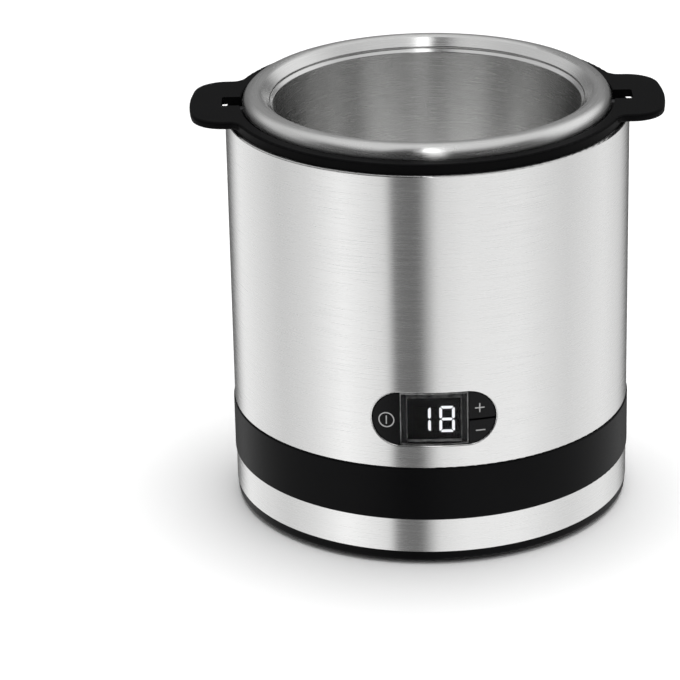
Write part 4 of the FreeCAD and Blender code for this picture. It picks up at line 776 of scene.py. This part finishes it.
# %% Studio room
TABLE_STOPS = (
    (-180, 0.10), (-158, 0.15), (-140, 1.10), (-95, 0.80), (-75, 0.97), (-52, 1.32),
    (-25, 0.98), (-21, 0.21), (-6.5, 0.19), (3.5, 0.98), (20, 1.16), (52, 1.17),
    (85, 0.88), (118, 1.02), (142, 0.78), (160, 0.12), (180, 0.10),
)
FOOT_STOPS = (
    (-180, 0.20), (-110, 0.12), (-70, 0.08), (0, 0.03), (70, 0.08), (110, 0.12), (180, 0.20),
)
WALL_STOPS = (
    (-180, 0.28), (-150, 0.30), (-130, 0.66), (-95, 0.50), (-70, 0.10), (-2, 0.03),
    (1.5, 0.85), (8.5, 0.85), (12, 0.03), (70, 0.10), (92, 0.66), (105, 0.84),
    (125, 0.90), (138, 0.86), (152, 0.30), (180, 0.28),
)
CEILING_STOPS = (
    (-180, 0.70), (-60, 0.74), (-36, 0.70), (-30, 0.04), (-9, 0.04), (-3.5, 2.30),
    (9, 2.30), (14, 0.70), (60, 0.74), (180, 0.70),
)
world = bpy.data.worlds.new("studio_room")
scene.world = world
world.use_nodes = True
tree = world.node_tree
background = tree.nodes["Background"]
way = add_node(tree, "ShaderNodeSeparateXYZ")
tree.links.new(add_node(tree, "ShaderNodeTexCoord").outputs["Generated"], way.inputs[0])
towards_camera = math_node(tree, "MULTIPLY", way.outputs[1], -1.0)
compass = math_node(tree, "ARCTAN2", way.outputs[0], towards_camera)
turn = math_node(tree, "ADD", math_node(tree, "DIVIDE", compass, math.tau), 0.5)


def compass_ramp(room_stops):
    ramp = add_node(tree, "ShaderNodeValToRGB")
    tree.links.new(turn, ramp.inputs["Fac"])
    stops = ramp.color_ramp.elements
    while len(stops) < len(room_stops):
        stops.new(0.5)
    for stop, (bearing, level) in zip(stops, room_stops):
        stop.position = (bearing + 180) / 360
        stop.color = (level, level, level, 1.0)
    return ramp.outputs["Color"]


ROOM_STOPS = (TABLE_STOPS, FOOT_STOPS, WALL_STOPS, CEILING_STOPS)
table, foot, walls, ceiling = (compass_ramp(stops) for stops in ROOM_STOPS)
print("room with", sum(len(stops) for stops in ROOM_STOPS), "stops round the compass")

# %% [markdown]
# The four ramps lie one above the other: the pale table up to the horizon, the dim foot of the
# walls, the walls with tall panels at both sides and a strip over the camera, and the soft boxes
# overhead. A rolled rim shows all four, which is why it goes from bright to black and back again.
# Each blend is a smooth step over the height of the ray, so that no hard line shows in the steel.

# %% Table, walls and ceiling
HORIZON = (-0.26, -0.04)
FOOT_EDGE = (0.05, 0.40)
SOFT_BOX_EDGE = (0.58, 0.90)


def blend_by_height(lower, upper, levels):
    height = add_node(tree, "ShaderNodeMapRange", interpolation_type="SMOOTHSTEP")
    height.inputs["From Min"].default_value = levels[0]
    height.inputs["From Max"].default_value = levels[1]
    tree.links.new(way.outputs[2], height.inputs["Value"])
    mix = add_node(tree, "ShaderNodeMix", data_type="RGBA")
    for socket, value in zip(("Factor", "A", "B"), (height.outputs["Result"], lower, upper)):
        tree.links.new(value, mix.inputs[socket])
    return mix.outputs["Result"]


room = blend_by_height(table, foot, HORIZON)
room = blend_by_height(room, walls, FOOT_EDGE)
room = blend_by_height(room, ceiling, SOFT_BOX_EDGE)
print("horizon at", HORIZON, "and soft boxes from", SOFT_BOX_EDGE)

# %% [markdown]
# Each kind of ray gets what it needs from the room. The camera and the clear window see a white
# backdrop at a strength of 1. Polished surfaces see the table, the walls and the ceiling.
# Everything else, which means the soft light that falls on the object, gets one even level, so that
# colours come out about as they are written.

# %% Rays in the room
EVEN_LEVEL = 0.4
ray = add_node(tree, "ShaderNodeLightPath")
even = add_node(tree, "ShaderNodeMix", data_type="RGBA")
even.inputs["A"].default_value = (EVEN_LEVEL, EVEN_LEVEL, EVEN_LEVEL, 1.0)
tree.links.new(ray.outputs["Is Glossy Ray"], even.inputs["Factor"])
tree.links.new(room, even.inputs["B"])
seen = add_node(tree, "ShaderNodeMix", data_type="RGBA")
seen.inputs["B"].default_value = (1.0, 1.0, 1.0, 1.0)
backdrop = math_node(tree, "MAXIMUM", ray.outputs["Is Camera Ray"],
                     ray.outputs["Is Transmission Ray"])
tree.links.new(backdrop, seen.inputs["Factor"])
tree.links.new(even.outputs["Result"], seen.inputs["A"])
tree.links.new(seen.outputs["Result"], background.inputs["Color"])
background.inputs["Strength"].default_value = 1.0
print("world strength", background.inputs["Strength"].default_value)

# %% [markdown]
# Two soft lamps lift the even light to the level of the paper and put a soft shadow at the foot of
# the object. Area lamps would do, but their light fades with distance and the far floor would go
# grey. A sun lamp with a wide angle is as soft as a large panel and equally bright everywhere. Each
# lamp has the place that it shines from, its angle in degrees and its strength. Mirrors don't see
# the lamps, because the room already shows its own panels there.

# %% Lamps
LAMPS = {
    "ceiling_lamp": ((0.05, 0.22, 1.75), 38.0, 2.2),
    "right_lamp": ((1.0, -0.9, 1.6), 40.0, 0.4),
}
for name, (stand, softness, strength) in LAMPS.items():
    lamp_data = bpy.data.lights.new(name, "SUN")
    lamp_data.angle = math.radians(softness)
    lamp_data.energy = strength
    lamp = bpy.data.objects.new(name, lamp_data)
    lamp.location = stand
    lamp.rotation_euler = (-lamp.location).to_track_quat("-Z", "Y").to_euler()
    lamp.visible_glossy = False
    scene.collection.objects.link(lamp)
scene.view_settings.view_transform = "Standard"
print(len(LAMPS), "lamps")
